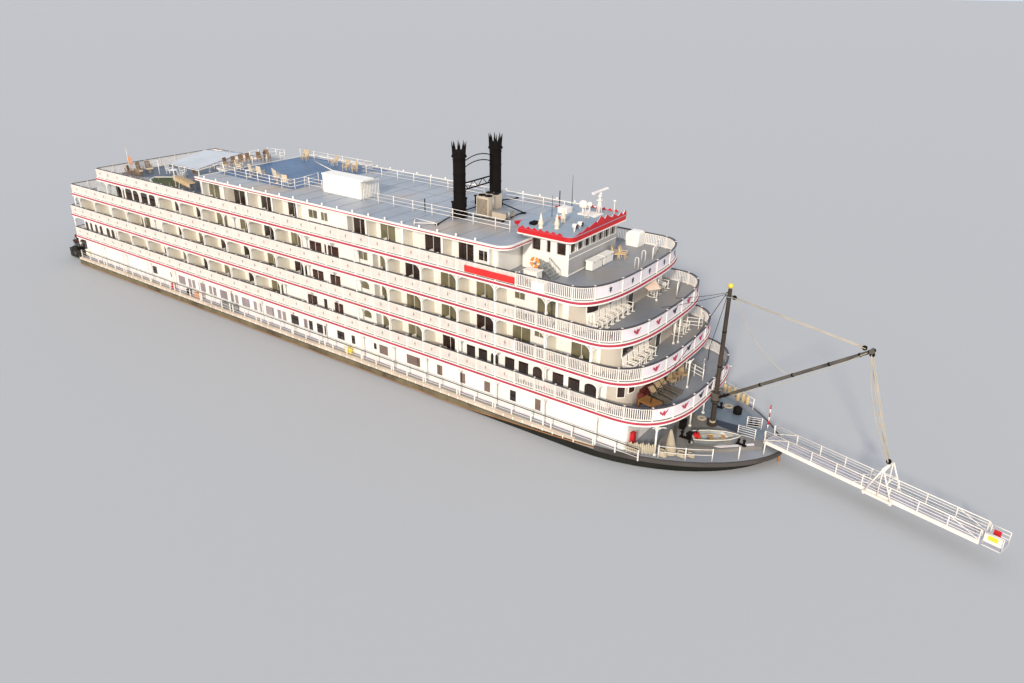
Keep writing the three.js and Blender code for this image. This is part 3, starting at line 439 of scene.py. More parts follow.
class Shape:
    """Solids gathered in real metres, then built as one mesh object of the model. Turn is the
    matrix that places the solids that follow."""

    def __init__(self, turn=None):
        self.points, self.faces, self.slots, self.rounded = [], [], [], []
        self.turn = turn

    def at(self, x, y, z, heading=0.0):
        """Solids that follow are placed at this point and turned by this heading."""
        self.turn = Matrix.Translation((x, y, z)) @ Matrix.Rotation(heading, 4, "Z")

    def both(self, distance=0.0):
        """Solids in the loop are made on both sides, with Y counted outwards from this
        distance from the centreline."""
        for side in SIDES:
            self.turn = facing(0, side, distance)
            yield side
        self.turn = None

    def put(self, points, faces, slots, rounded):
        base = len(self.points)
        if self.turn is not None:
            points = [self.turn @ Vector(point) for point in points]
        self.points += [tuple(point) for point in points]
        self.faces += [[base + i for i in face] for face in faces]
        self.slots += slots
        self.rounded += rounded

    def skin(self, rings, slot=0, closed=False, smooth=False, top=None):
        """Faces between rings of equal point count, and over both ends if not closed."""
        count, sides = len(rings), len(rings[0])
        faces = []
        for i in range(count if closed else count - 1):
            near, far = i * sides, (i + 1) % count * sides
            faces += [(near + k, near + (k + 1) % sides, far + (k + 1) % sides, far + k)
                      for k in range(sides)]
        slots, rounded = [slot] * len(faces), [smooth] * len(faces)
        if not closed:
            last = (count - 1) * sides
            faces += [tuple(reversed(range(sides))), tuple(range(last, last + sides))]
            slots += [slot, slot if top is None else top]
            rounded += [False, False]
        self.put([point for ring in rings for point in ring], faces, slots, rounded)

    def box(self, x0, x1, y0, y1, z0, z1, slot=0):
        self.prism([(x0, y0), (x1, y0), (x1, y1), (x0, y1)], z0, z1, slot)

    def post(self, x, y, z0, z1, half, slot=0, deep=None):
        """Upright box round a place, as wide and as deep as twice these numbers."""
        deep = half if deep is None else deep
        self.box(x - half, x + half, y - deep, y + deep, z0, z1, slot)

    def prism(self, outline, z0, z1, slot=0, top=None):
        self.skin([[(x, y, z) for x, y in outline] for z in (z0, z1)], slot, top=top)

    def bar(self, a, b, width, height, slot=0, up=UP):
        """Square-edged bar from a to b, its height measured along up."""
        a, b = Vector(a), Vector(b)
        along = (b - a).normalized()
        side = along.cross(Vector(up))
        if side.length < 1e-4:
            side = along.cross(Vector(ALONG))
        side = side.normalized()
        rise = side.cross(along) * (height / 2)
        side = side * (width / 2)
        corners = [-side - rise, side - rise, side + rise, -side + rise]
        self.skin([[end + corner for corner in corners] for end in (a, b)], slot)

    def bars(self, points, width, height, closed=False, up=UP):
        """Bars from each point to the next."""
        for a, b in zip(points, points[1:] + (points[:1] if closed else [])):
            self.bar(a, b, width, height, up=up)

    def plate(self, outline, origin, u, v, thickness, slot=0):
        """Flat outline drawn in the directions u and v, as thick as asked."""
        u, v, origin = Vector(u), Vector(v), Vector(origin)
        normal = u.cross(v).normalized() * (thickness / 2)
        flat = [origin + u * a + v * b for a, b in outline]
        self.skin([[point - normal for point in flat], [point + normal for point in flat]], slot)

    def strip(self, outer, inner, z0, z1, slot=0, closed=False):
        """Upright band between two plan paths of equal point count. Its lower and upper
        edges are heights, or tables of (X, height) pairs."""
        def height(z, x):
            return level(z, x) if isinstance(z, list) else z
        self.skin([[(x0, y0, height(z0, x0)), (x0, y0, height(z1, x0)),
                    (x1, y1, height(z1, x1)), (x1, y1, height(z0, x1))]
                   for (x0, y0), (x1, y1) in zip(outer, inner)], slot, closed)

    def tube(self, path, radius, sides=8, slot=0, closed=False, end=None):
        """Round section swept along a path, its radius going over to end if that is given."""
        path = [Vector(point) for point in path]
        count = len(path)
        radii = spots(radius, radius if end is None else end, count)
        rings, normal = [], None
        for i, point in enumerate(path):
            ahead = path[(i + 1) % count] if closed else path[min(i + 1, count - 1)]
            along = (ahead - path[i - 1 if closed else max(i - 1, 0)]).normalized()
            if normal is None:
                normal = along.cross(Vector(UP if abs(along.z) < 0.9 else ALONG)).normalized()
            else:
                normal = (normal - along * normal.dot(along)).normalized()
            other = along.cross(normal)
            rings.append([point + radii[i] * (normal * math.cos(t) + other * math.sin(t))
                          for t in spots(0, 2 * math.pi, sides + 1)[:-1]])
        self.skin(rings, slot, closed, smooth=True)

    def rod(self, a, b, radius, sides=8, end=None, slot=0):
        self.tube([a, b], radius, sides, slot, end=end)

    def pole(self, x, y, z0, z1, radius, sides=8, end=None, slot=0):
        """Upright rod."""
        self.rod((x, y, z0), (x, y, z1), radius, sides, end, slot)

    def lathe(self, centre, profile, sides=16, slot=0, smooth=True):
        """Profile of (radius, height) pairs turned round an upright axis."""
        x, y, z = centre
        self.skin([circle(x, y, z + height, radius, sides) for radius, height in profile],
                  slot, smooth=smooth)

    def ball(self, centre, radius, sides=12, rings=7, slot=0):
        self.lathe(centre, [(max(radius * math.sin(t), radius * 0.02), -radius * math.cos(t))
                            for t in spots(0, math.pi, rings + 1)], sides, slot)

    def build(self, name, materials, body="boat", replaces=(), slot="white_paint"):
        mesh = bpy.data.meshes.new(name)
        places = (np.array(self.points, float) - np.array(ORIGIN)) / SCALE
        mesh.from_pydata(places.tolist(), [], self.faces)
        for one in materials:
            mesh.materials.append(one)
        mesh.polygons.foreach_set("material_index", self.slots)
        mesh.polygons.foreach_set("use_smooth", self.rounded)
        work = bmesh.new()
        work.from_mesh(mesh)
        bmesh.ops.recalc_face_normals(work, faces=work.faces)
        work.to_mesh(mesh)
        work.free()
        made = bpy.data.objects.new(name, mesh)
        bpy.context.scene.collection.objects.link(made)
        if body:
            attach(made, body)
        if replaces:
            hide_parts(*replaces)
        return made


# Plan paths

def level(table, x):
    """Height at X in a table of (X, height) pairs."""
    for (x0, z0), (x1, z1) in zip(table, table[1:]):
        if x <= x1:
            return z0 + (z1 - z0) * (x - x0) / (x1 - x0)
    return table[-1][1]


def rounded_path(aft, half, curve):
    """Path from the starboard quarter along the curve's points, mirrored to port."""
    side = [(aft, -half)] + curve
    return side + [(x, -y) for x, y in reversed(side[:-1])]


def edge(deck, inset):
    """Edge of a deck from the starboard quarter round the bow to the port quarter."""
    row = DECKS[deck]
    half, front, depth = HALF_BEAM - inset, row["front"] - inset, row["round"]
    curve = [(front - depth + depth * math.sin(t) ** (2 / FRONT_POWER),
              -half * math.cos(t) ** (2 / FRONT_POWER))
             for t in spots(0, math.pi / 2, 21)[:-1]]
    return rounded_path(row["aft"] + inset, half, curve + [(front, 0.0)])


def sheer(inset):
    """Edge of the hull from the starboard quarter round the stem to the port quarter."""
    half, reach = HALF_BEAM - inset, BOW_REACH - inset
    curve = [(x, -half) for x in spots(32.0, BOW_CURVE_X, 10)[:-1]]
    curve += [(BOW_CURVE_X + reach * math.sin(t), -half * math.cos(t) ** (2 * BOW_POWER))
              for t in spots(0, math.pi / 2, 25)[:-1]]
    return rounded_path(STERN_X + inset, half, curve + [(BOW_CURVE_X + reach, 0.0)])


def corner_arc(front, half, radius, angles, out=0.0):
    """Points round the port corner of a front, from the flank to the front."""
    return [(front - radius + (radius + out) * math.sin(t),
             half - radius + (radius + out) * math.cos(t)) for t in angles]


def point_on(path, distance):
    """Point and direction at a distance along a plan path."""
    for (x0, y0), (x1, y1) in zip(path, path[1:]):
        length = math.hypot(x1 - x0, y1 - y0)
        if distance <= length:
            share = distance / length
            return x0 + (x1 - x0) * share, y0 + (y1 - y0) * share, math.atan2(y1 - y0, x1 - x0)
        distance -= length
    (x0, y0), (x1, y1) = path[-2:]
    return x1, y1, math.atan2(y1 - y0, x1 - x0)


def path_length(path):
    return sum(math.dist(a, b) for a, b in zip(path, path[1:]))


def even_posts(path, step):
    total = path_length(path)
    return spots(0.0, total, max(2, round(total / step) + 1))


SEARCH_STEP = 0.02


def distance_where(path, test):
    """Distance along a path of the first point that passes the test."""
    total = path_length(path)
    steps = int(total / SEARCH_STEP)
    for i in range(steps):
        x, y, _ = point_on(path, total * i / steps)
        if test(x, y):
            return total * i / steps
    return total


# Least distances of the grid's posts from the aft end and from the first post of the bow
AFT_GAP, BOW_GAP = 0.8, 1.2


def post_distances(deck, path):
    """Places of the railing's posts along a deck's edge, bow halves mirrored."""
    bow_posts = FRONT_POSTS[deck]
    flank = []
    x = GRID_X - GRID_STEP * math.floor((GRID_X - DECKS[deck]["aft"] - AFT_GAP) / GRID_STEP)
    while x < min(bow_posts["x"]) - BOW_GAP:
        flank.append(x)
        x += GRID_STEP
    found = [0.0]
    found += [distance_where(path, lambda px, py, at=at: px >= at)
              for at in flank + bow_posts["x"]]
    found += [distance_where(path, lambda px, py, at=at: py >= -at) for at in bow_posts["y"]]
    total = path_length(path)
    return found + [total - one for one in reversed(found)]


# Railings

SCROLL = [(-0.42, 0.16), (-0.30, 0.24), (-0.20, 0.06), (-0.10, 0.02), (-0.02, 0.20),
          (0.08, 0.26), (0.10, 0.08), (0.24, 0.16), (0.44, 0.34), (0.32, 0.10), (0.18, -0.02),
          (0.10, -0.26), (0.02, -0.10), (-0.12, -0.22), (-0.16, -0.06), (-0.32, -0.04)]
FLEUR = [(0.0, -0.34), (0.05, -0.12), (0.16, -0.14), (0.12, -0.02), (0.05, 0.02), (0.18, 0.10),
         (0.16, 0.22), (0.06, 0.14), (0.0, 0.34), (-0.06, 0.14), (-0.16, 0.22), (-0.18, 0.10),
         (-0.05, 0.02), (-0.12, -0.02), (-0.16, -0.14), (-0.05, -0.12)]
SPRIG = [(0.0, -0.2), (0.04, -0.05), (0.12, 0.0), (0.04, 0.05), (0.0, 0.2), (-0.04, 0.05),
         (-0.12, 0.0), (-0.04, -0.05)]
# Rails: how far in they begin and end, lower and upper edge over the deck, slot
LOWER_RAILS = [(0.07, 0.13, 0.96, 1.035, 0), (0.07, 0.13, 0.08, 0.15, 0)]
CAP_RAIL = (0.03, 0.17, 1.03, 1.1, 1)
STERN_CAP_RAIL = (0.05, 0.15, 1.035, 1.085, 1)
PICKET = {"low": 0.14, "high": 0.97, "thick": 0.014, "step": 0.12, "wide": 0.039,
          "bow_x": 39.0, "bow_step": 0.155, "bow_wide": 0.032}
# Plain panels: how far back they begin, as a share of the front's rounding, their thickness
# and how far behind the front the point lies that their inner faces move towards
PANELS = {"start": 0.62, "thick": 0.02, "centre": 6.0}
# Boards of a deck's edge: how far in they begin and end, lower and upper edge, slot
FASCIA = [(-0.03, 0.02, -SLAB - 0.03, 0.03, 0), (-0.06, 0.0, -0.23, -0.05, 1),
          (-0.045, 0.0, -0.26, -0.23, 0)]


def ornament(deck, solid, y, start):
    """Outline, width, height and slot of the ornament in a bay of the railing."""
    if solid and deck == 5:
        return FLEUR, 0.72, 0.75, 3
    if solid:
        return SCROLL, 0.85, 0.9, 4 if abs(y) > 2.2 else 3
    return SPRIG, 0.75, 0.85, 5 if round(start * 7) % 3 else 6


def panel(shape, deck, middle, a, b):
    """Plain panel along the railing's middle line from distance a to b, its lilac grey painted
    shade on a white panel.
    """
    z, centre = DECKS[deck]["z"], DECKS[deck]["front"] - PANELS["centre"]
    outer = [point_on(middle, distance)[:2] for distance in spots(a, b, 6)]
    inner = []
    for x, y in outer:
        share = PANELS["thick"] / math.hypot(x - centre, y)
        inner.append((x - share * (x - centre), y - share * y))
    shape.strip(outer, inner, z + 0.13, z + 0.97, 2)


def railing(deck):
    """Picket railing with dark cap, and plain panels with an ornament round the front."""
    row, z, aft = DECKS[deck], DECKS[deck]["z"], DECKS[deck]["aft"]
    half = HALF_BEAM - 0.1
    middle = edge(deck, 0.10)
    shape = Shape()
    for near, far, low, high, slot in [CAP_RAIL] + LOWER_RAILS:
        shape.strip(edge(deck, near), edge(deck, far), z + low, z + high, slot)
    for near, far, low, high, slot in [STERN_CAP_RAIL] + LOWER_RAILS:
        shape.box(aft + near, aft + far, -half, half, z + low, z + high, slot)
    posts = post_distances(deck, middle)
    for distance in posts:
        x, y, heading = point_on(middle, distance)
        shape.at(x, y, z, heading)
        shape.post(0, 0, 0.0, 1.10, 0.055)
        shape.post(0, 0, 1.085, 1.125, 0.07)
    for a, b in zip(posts, posts[1:]):
        x, y, heading = point_on(middle, (a + b) / 2)
        solid = (x > row["front"] - row["round"] * PANELS["start"]
                 and abs(y) < SOLID_HALF[deck])
        if solid:
            shape.turn = None
            panel(shape, deck, middle, a, b)
        else:
            bow = "bow_" if x > PICKET["bow_x"] else ""
            step, wide = PICKET[bow + "step"], PICKET[bow + "wide"]
            for distance in spots(a, b, max(2, round((b - a) / step)) + 1)[1:-1]:
                px, py, turn = point_on(middle, distance)
                shape.at(px, py, z, turn)
                shape.post(0, 0, PICKET["low"], PICKET["high"], wide, 0, PICKET["thick"])
        outline, wide, high, slot = ornament(deck, solid, y, a)
        shape.at(x, y, z, heading)
        shape.plate([(wide * p, high * q) for p, q in outline], (0, -0.045, 0.56), ALONG, UP,
                    0.03, slot)
    shape.turn = None
    stern = spots(-half, half, round(2 * HALF_BEAM / PICKET["bow_step"]) + 1)
    for i, y in enumerate(stern[1:-1], 1):
        shape.post(aft + 0.1, y, z + PICKET["low"], z + PICKET["high"], PICKET["thick"], 0,
                   PICKET["bow_wide"])
        if i % 13 == 0:
            shape.post(aft + 0.1, y, z, z + 1.1, 0.05)
    shape.build(f"railing_pickets_{deck}",
                [RAIL_WHITE, CAP, PANEL_SHADE_GREY, NAVY, RED, SPRIG_GREY, SPRIG_PINK],
                replaces=[f"railing_{deck}"])


def fascia(deck):
    """White board round a deck's edge with a thick red moulding."""
    z = DECKS[deck]["z"]
    shape = Shape()
    for near, far, low, high, slot in FASCIA:
        shape.strip(edge(deck, near), edge(deck, far), z + low, z + high, slot, closed=True)
    shape.build(f"fascia_{deck}", [WHITE, RED])


def brackets(shape, head, along, reach=0.72, drop=0.78, signs=SIDES):
    """Quarter arches that spring from a post's head, with a ring in each corner."""
    along, head, down = Vector(along), Vector(head), Vector((0, 0, -1))
    for sign in signs:
        arch = [head + along * (sign * reach * (1 - math.sin(t)))
                + down * (drop * (1 - math.cos(t)) + 0.02) for t in spots(0, math.pi / 2, 6)]
        shape.bars(arch, 0.05, 0.055)
        middle = head + along * (sign * reach * 0.26) + down * (drop * 0.26)
        ring = [middle + along * x + down * z for x, _, z in circle(0, 0, 0, 0.09, 6, "xz")]
        shape.bars(ring, 0.04, 0.03, closed=True)
        shape.bar(head + along * (sign * 0.02) + down * 0.03, middle, 0.04, 0.035)


def edge_posts():
    """Porch posts between the decks with a pair of fretwork brackets at each head."""
    shape = Shape()
    ceiling = DECKS[2]["z"] - SLAB
    for _ in shape.both():
        for deck, places in EDGE_POSTS.items():
            high, y = DECKS[deck]["ceiling"], HALF_BEAM - 0.09
            for x in places:
                shape.post(x, y, DECKS[deck]["z"] + 1.0, high, 0.055, deep=0.05)
                brackets(shape, (x, y, high), ALONG)
        for x in MAIN_DECK_POSTS:
            y = 7.72 if x < 49 else 6.4
            shape.post(x, y, MAIN_DECK_Z, ceiling, 0.05)
            brackets(shape, (x, y, ceiling), ALONG)
    shape.build("porch_posts", [WHITE])


# Doors and windows

TRIM = 0.06


def arch_window(shape, x0, x1, z0, z1, slot):
    middle, half = (x0 + x1) / 2, (x1 - x0) / 2
    rise = min(half, 0.35)
    arc = [(middle + half * math.cos(t), z1 - rise + rise * math.sin(t))
           for t in spots(0, math.pi, 9)]
    shape.plate([(x0, z0), (x1, z0)] + arc, (0, 0.012, 0), ALONG, UP, 0.02, slot)
    frame_line = [Vector((x, 0.0225, z)) for x, z in [(x1, z0)] + arc + [(x0, z0)]]
    shape.bars(frame_line, 0.045, TRIM, closed=True, up=ACROSS)


def window(shape, x0, x1, z0, z1, look="dark", form="square", panes=2, head=0.045, sill=0.063,
           jamb=0.045, mullion=0.018):
    """Framed panes in the frame of a wall. Head, sill and jamb stand out this far, and the
    mullion is half as wide as its number."""
    slot = LOOKS[look]
    if form == "arch":
        arch_window(shape, x0, x1, z0, z1, slot)
        return
    shape.box(x0, x1, 0, 0.02, z0, z1, slot)
    shape.box(x0 - TRIM, x1 + TRIM, 0, head, z1, z1 + TRIM)
    shape.box(x0 - TRIM, x1 + TRIM, 0, sill, z0 - TRIM, z0)
    for x in (x0 - TRIM, x1):
        shape.box(x, x + TRIM, 0, jamb, z0, z1)
    for x in spots(x0, x1, panes + 1)[1:-1]:
        shape.box(x - mullion, x + mullion, 0, 0.045, z0, z1)


def openings():
    shape = Shape()
    for deck, rows in DOORS.items():
        floor = DECKS[deck]["z"]
        for _ in shape.both(CABINS[deck]["wall"]):
            for x0, x1, drawn in rows:
                window(shape, x0, x1, floor + 0.08, floor + 2.12, "curtain" if drawn else "dark")
    for deck, z0, z1, wall, look, form, places in WINDOWS:
        panes = 2 if deck > 1 and (look != "dark" or deck > 4) else 1
        for _ in shape.both(wall):
            for x0, x1 in places:
                window(shape, x0, x1, z0, z1, look, form, panes)
    for _ in shape.both(MAIN_HOUSE_HALF):
        for x in WIDE_WINDOWS:
            window(shape, x - 0.65, x + 0.65, 1.83, 2.8, "lavender" if x < 9 else "dark", panes=1)
        for x in NARROW_PAIRS:
            for a, b in ((-0.66, -0.1), (0.1, 0.66)):
                look = "lavender" if x < 9 or (a < 0 and x < 14) else "dark"
                window(shape, x + a, x + b, 1.83, 2.8, look, panes=1)
    shape.build("doors_and_windows", [WHITE, GLASS, CURTAIN, BROWN, LAVENDER, BLIND])


def front_openings():
    shape = Shape()
    for deck, near, far, z0, z1 in FRONT_WINDOWS:
        shape.turn = facing(1, 0, FRONTS[deck]["x"])
        for y0, y1 in ((-far, -near), (near, far)):
            window(shape, y0, y1, z0, z1, head=0.05, sill=0.06, jamb=0.05, mullion=0.03)
    for deck, first, last, extra, z0, z1 in CORNER_WINDOWS:
        front, radius = FRONTS[deck]["x"], FRONTS[deck]["radius"]
        paths = {}
        for out in (-0.01, 0.02, 0.03, 0.055):
            angles = [math.radians(t) for t in spots(first, last, 8)]
            paths[out] = corner_arc(front, HOUSE_HALF, radius, angles, out)
            if extra:
                paths[out].append((front + out, HOUSE_HALF - radius - extra))
        for _ in shape.both():
            shape.strip(paths[0.03], paths[-0.01], z0, z1, 1)
            for low, high in ((z0 - 0.06, z0), (z1, z1 + 0.06)):
                shape.strip(paths[0.055], paths[-0.01], low, high)
            for x, y in (paths[0.02][0], paths[0.02][-1]):
                shape.post(x, y, z0 - 0.06, z1 + 0.06, 0.035)
    for deck, front in FRONTS.items():
        floor = DECKS[deck]["z"]
        shape.turn = facing(1, 0, front["x"])
        shape.box(-0.5, 0.5, 0, 0.03, floor + 0.02, floor + 2.05, 1)
        for y in (-0.5, 0.42):
            shape.box(y, y + 0.08, 0, 0.06, floor + 0.02, floor + 2.05)
        shape.box(-0.5, 0.5, 0, 0.06, floor + 2.05, floor + 2.13)
    shape.build("front_windows", [WHITE, GLASS])


def divider_boards():
    """Cream boards on both faces of the cabin dividers, white caps on their outer edges and a white
    block against deck 5's wall.
    """
    shape = Shape()
    for _ in shape.both():
        for deck, row in CABINS.items():
            low, high = DECKS[deck]["z"] + 0.02, DECKS[deck]["ceiling"] - 0.01
            for x in row["dividers"]:
                # The cream of these boards is painted warm light bounced off the white walls and
                # deck.
                for x0 in (x - 0.085, x + 0.06):
                    shape.box(x0, x0 + 0.025, row["wall"] + 0.01, row["reach"] + 0.03, low, high)
                shape.box(x - 0.1, x + 0.1, row["reach"] - 0.02, row["reach"] + 0.05, low, high, 1)
        shape.box(33.4, 35.17, 6.19, 6.9, 12.23, 14.53, 1)
    shape.build("divider_boards", [CREAM_AND_BOUNCE, WHITE])


for number in DECKS:
    railing(number)
    fascia(number)
edge_posts()
openings()
front_openings()
divider_boards()


# Landing stage and its tackle

def landing_stage():
    """Boards, truss rails and lifting frame of the landing stage."""
    shape = Shape(STAGE_FRAME)
    length, half, top = STAGE["length"], STAGE["width"] / 2, STAGE["rail"]
    heel, toe, apex, high = HEAD["foot1"], HEAD["foot2"], HEAD["apex"], HEAD["z"]
    posts = spots(0.05, length - 0.05, STAGE_PANELS + 1)
    for i in range(STAGE_BOARDS):
        x = length * (i + 0.5) / STAGE_BOARDS
        shape.post(x, 0, 0.03, 0.065, 0.08, 1, half - 0.1)
    for x in spots(0.15, length - 0.15, 17):
        shape.post(x, 0, -0.13, 0.03, 0.04, 0, half - 0.08)
    for side in SIDES:
        y, out = side * (half - 0.05), side * (half + 0.08)
        for wide, z0, z1 in ((0.05, -0.16, -0.13), (0.05, 0.09, 0.12), (0.02, -0.13, 0.09)):
            shape.box(0, length, y - wide, y + wide, z0, z1)
        for x in posts:
            shape.post(x, y, 0.12, top - 0.02, 0.032, deep=0.03)
        shape.rod((0.06, y, top - 0.03), (length - 0.06, y, top - 0.03), 0.034)
        for z in (0.27, 0.5, 0.72):
            shape.rod((0.03, y, z), (length - 0.03, y, z), 0.02, 6)
        for x, end in ((0.06, -0.03), (length - 0.06, length + 0.03)):
            shape.tube([(x, y, top - 0.03), ((x + end) / 2, y, top - 0.045),
                        (end, y, top - 0.12), (end, y, 0.5)], 0.034)
        for near, far in ((posts[1], posts[0]), (posts[-2], posts[-1])):
            shape.bar((near, y, 0.92), (far, y, 0.14), 0.03, 0.045)
        shape.box(heel - 0.1, toe + 0.1, out - 0.07, out + 0.07, -0.24, -0.05)
        for foot, radius in ((heel, 0.055), (toe, 0.055), (apex, 0.04)):
            shape.rod((foot, out, -0.08), (apex, side * (half + 0.02), high), radius)
        shape.rod((heel + 0.42, out, 0.95), (toe - 0.45, out, 0.95), 0.035, 6)
        shape.bar((heel - 0.9, y, 0.12), (heel + 0.2, out, 0.7), 0.03, 0.04)
    for x in (heel, toe):
        shape.post(x, 0, -0.3, -0.2, 0.08, 0, half + 0.15)
        middle, z = x + (apex - x) * 0.55, high * 0.55
        shape.rod((middle, -half - 0.04, z), (middle, half + 0.04, z), 0.03, 6)
    shape.rod((apex, -half - 0.1, high), (apex, half + 0.1, high), 0.075, 10)
    shape.tube(circle(apex - 0.02, 0, high + 0.16, 0.1, 12, "xz"), 0.03, 6, 2, closed=True)
    shape.build("stage_gangway", [RAIL_WHITE, STAGE_FLOOR, STEEL], body="landing_stage",
                replaces=["stage"])


def stage_flap():
    shape = Shape(FLAP_FRAME)
    low, high, reach = 0.12, 1.29, 0.56
    for i in range(7):
        shape.post(low + 0.09 + i * 0.166, 0, -0.02, 0.0, 0.078, 1, 0.68)
    for y in (-0.66, 0.0, 0.66):
        shape.box(low, high, y - 0.03, y + 0.03, -0.07, -0.02)
    for x in (low + 0.03, high - 0.03):
        shape.post(x, 0, -0.07, -0.02, 0.03, 0, 0.69)
    near, far = low + 0.04, high - 0.04
    for y in (-reach, reach):
        for x in (near, far):
            shape.pole(x, y, 0.0, 0.86, 0.028)
        for z in (0.3, 0.58, 0.86):
            shape.rod((near, y, z), (far, y, z), 0.022)
    shape.box(low + 0.06, high - 0.1, -reach - 0.035, -reach - 0.02, 0.2, 0.8)
    shape.box(low + 0.26, high - 0.34, -reach - 0.046, -reach - 0.03, 0.42, 0.74, 2)
    shape.box(low + 0.22, low + 0.66, reach - 0.05, reach - 0.03, 0.22, 0.62, 3)
    shape.build("stage_tip", [RAIL_WHITE, STAGE_FLOOR, SIGN_YELLOW, BRIGHT_RED],
                body="stage_end", replaces=["stage_flap"])


def block(shape, place, along, size):
    """Pulley block: two cheeks with a sheave between them."""
    place, along, side = Vector(place), Vector(along).normalized(), Vector(ACROSS)
    across = along.cross(side)
    for shift, grow in ((-0.05, size), (0.0, size * 0.75), (0.05, size)):
        middle = place + side * shift
        for tilt, up in ((across, along), (along, across)):
            shape.bar(middle - tilt * grow, middle + tilt * grow, 0.035, grow * 1.3, 1, up)


def stage_falls():
    """Ropes from the boom's tip down to the landing stage's head, with a block at each end."""
    turn = Matrix.Rotation(STAGE_HEADING, 4, "Z")
    head = (Vector((STAGE["reach"], STAGE["side"], STAGE["z"]))
            + turn @ Vector((HEAD["apex"], 0, HEAD["z"])))
    top = BOOM_TIP + Vector((0.03, 0, -0.25))
    foot = head + Vector((-0.05, 0, 0.28))
    way = (foot - top).normalized()
    shape = Shape(BOOM_FRAME)
    for y in (-0.12, 0.12):
        shape.rod(top + Vector((0, y, 0)), foot + Vector((0, y, 0)), 0.032)
    for y, bow in ((-0.16, 0.42), (0.16, 0.3)):
        shape.tube([top.lerp(foot, t) + Vector((-bow * math.sin(math.pi * t), y, 0))
                    for t in spots(0, 1, 15)], 0.026, 6)
    block(shape, top - way * 0.02, way, 0.16)
    block(shape, foot, way, 0.16)
    falls = shape.build("stage_fall_lines", [ROPE, BLACK], body=None,
                        replaces=["stage_falls"], slot="rope")
    start, end = ((BOOM_FRAME @ place - ORIGIN) / SCALE for place in (top, foot - way * 0.1))
    tuple(start)
    tuple(end)
    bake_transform(falls)


def boom_gear():
    shape = Shape(BOOM_FRAME)
    z, end = 12.2, BOOM_TIP + Vector((-0.42, 0, 0.07))
    shape.tube(circle(0, 0, z, 0.26, 16), 0.035, 6, 2, closed=True)
    for y in (-0.1, 0.1):
        shape.rod((0.27, y, z), (end.x, y, end.z), 0.03)
    block(shape, (0.42, 0, z), ALONG, 0.15)
    block(shape, end - Vector((0.1, 0, 0)), ALONG, 0.15)
    shape.tube(sag((0.3, 0.1, 12.25), (5.3, 0.12, 7.55), 0.9), 0.022, 6)
    shape.build("topping_lines", [ROPE, BLACK, STEEL], body="stage_boom",
                replaces=["topping_lift"], slot="rope")

    shape = Shape(BOOM_FRAME)
    heel = Vector((0.33, 0, 3.9))
    way = (BOOM_TIP - heel).normalized()
    for t in (0.04, 0.3, 0.52, 0.75, 0.93, 0.985):
        place = heel.lerp(BOOM_TIP, t)
        shape.rod(place - way * 0.06, place + way * 0.06, 0.15, 12, slot=1)
    shape.rod(BOOM_TIP - way * 0.1, BOOM_TIP + way * 0.22, 0.1, 10, 0.07, 1)
    for y in (-0.13, 0.13):
        shape.bar(heel + Vector((-0.1, y, -0.05)), heel.lerp(BOOM_TIP, 0.08) + Vector((0, y, 0)),
                  0.05, 0.16, 1)
    shape.tube(sag(heel.lerp(BOOM_TIP, 0.1) - Vector((0, 0.16, 0.1)),
                   BOOM_TIP - Vector((0.3, 0.14, 0.2)), 0.35, 13), 0.022, 6)
    shape.build("boom_fittings", [ROPE, BLACK], body="stage_boom", slot="black_paint")


def rigging():
    """Gilded truck on the mast, its stays and the lines that run back to the boat."""
    shape = Shape()
    top = 12.7
    shape.ball((MAST_X, 0, top + 0.3), 0.21, 14, 8, 1)
    shape.pole(MAST_X, 0, top, top + 0.15, 0.1, 10, slot=2)
    for y in (-5.5, 5.5):
        shape.tube(sag((MAST_X - 0.12, y * 0.02, top - 0.15), (48.95, y, 5.1), 0.12), 0.022, 6, 2)
        shape.pole(48.95, y, 5.1, 3.97, 0.03, 6, slot=2)
    for y in (-0.25, 0.25):
        shape.tube(sag((MAST_X - 0.15, y, top - 0.3), (47.2, y * 5, 10.55), 0.1), 0.018, 6, 2)
    for z in (1.6, 3.2, 6.4, 9.3, 12.1):
        shape.pole(MAST_X, 0, z, z + 0.1, 0.215 - 0.004 * z, 16, slot=2)
    for k in range(9):
        shape.tube(circle(MAST_X, 0, 1.42 + k * 0.035, 0.225, 14), 0.018, 5, closed=True)
    shape.build("mast_rigging", [ROPE, GOLD, BLACK], slot="black_paint")


# Foredeck and guard

def rub_rails():
    """Timber guard below the main deck's rail, which rises and thins out at the bow."""
    shape = Shape()
    foot = [(x, z + 0.06) for x, z in RUB_LOW]
    neck = [(x, z - 0.08) for x, z in RUB_HIGH]
    inner = sheer(0.02)

    def band(out, low, high, slot, chosen):
        outer = sheer(-out)
        shape.strip([outer[i] for i in chosen], [inner[i] for i in chosen], low, high, slot)

    for side in SIDES:
        flank = [i for i, (x, y) in enumerate(inner) if x < 46.6 and side * y > 0]
        band(0.17, RUB_LOW, foot, 1, flank)
        band(0.15, foot, neck, 0, flank)
        band(0.13, neck, RUB_HIGH, 3, flank)
        band(0.15, RUB_HIGH, KERB, 2, flank)
    # Near-black strip round the bow's edge: painted shade on a pale grey edge.
    band(0.17, 0.66, 0.99, 5, [i for i, (x, y) in enumerate(inner) if x > 45.7])
    shape.box(STERN_X - 0.12, STERN_X, -HALF_BEAM, HALF_BEAM, 0.2, 0.7)
    for _ in shape.both():
        shape.box(STERN_X, BOW_CURVE_X, HALF_BEAM - 0.1, HALF_BEAM, 0.98, 1.04, 2)
        for x in even_spots(STERN_X + 0.2, BOW_CURVE_X, GRID_STEP / 2):
            shape.post(x, HALF_BEAM + 0.17, 0.76, 1.0, 0.04, 4, 0.02)
    shape.tube([(BOW_CURVE_X + BOW_REACH + 0.03, 0, z) for z in spots(-0.2, 0.95, 5)], 0.1, 8, 1)
    shape.build("rub_rails", [RUB, RUST, KERB_CREAM, HULL, RAIL_WHITE, BOW_EDGE_SHADE])


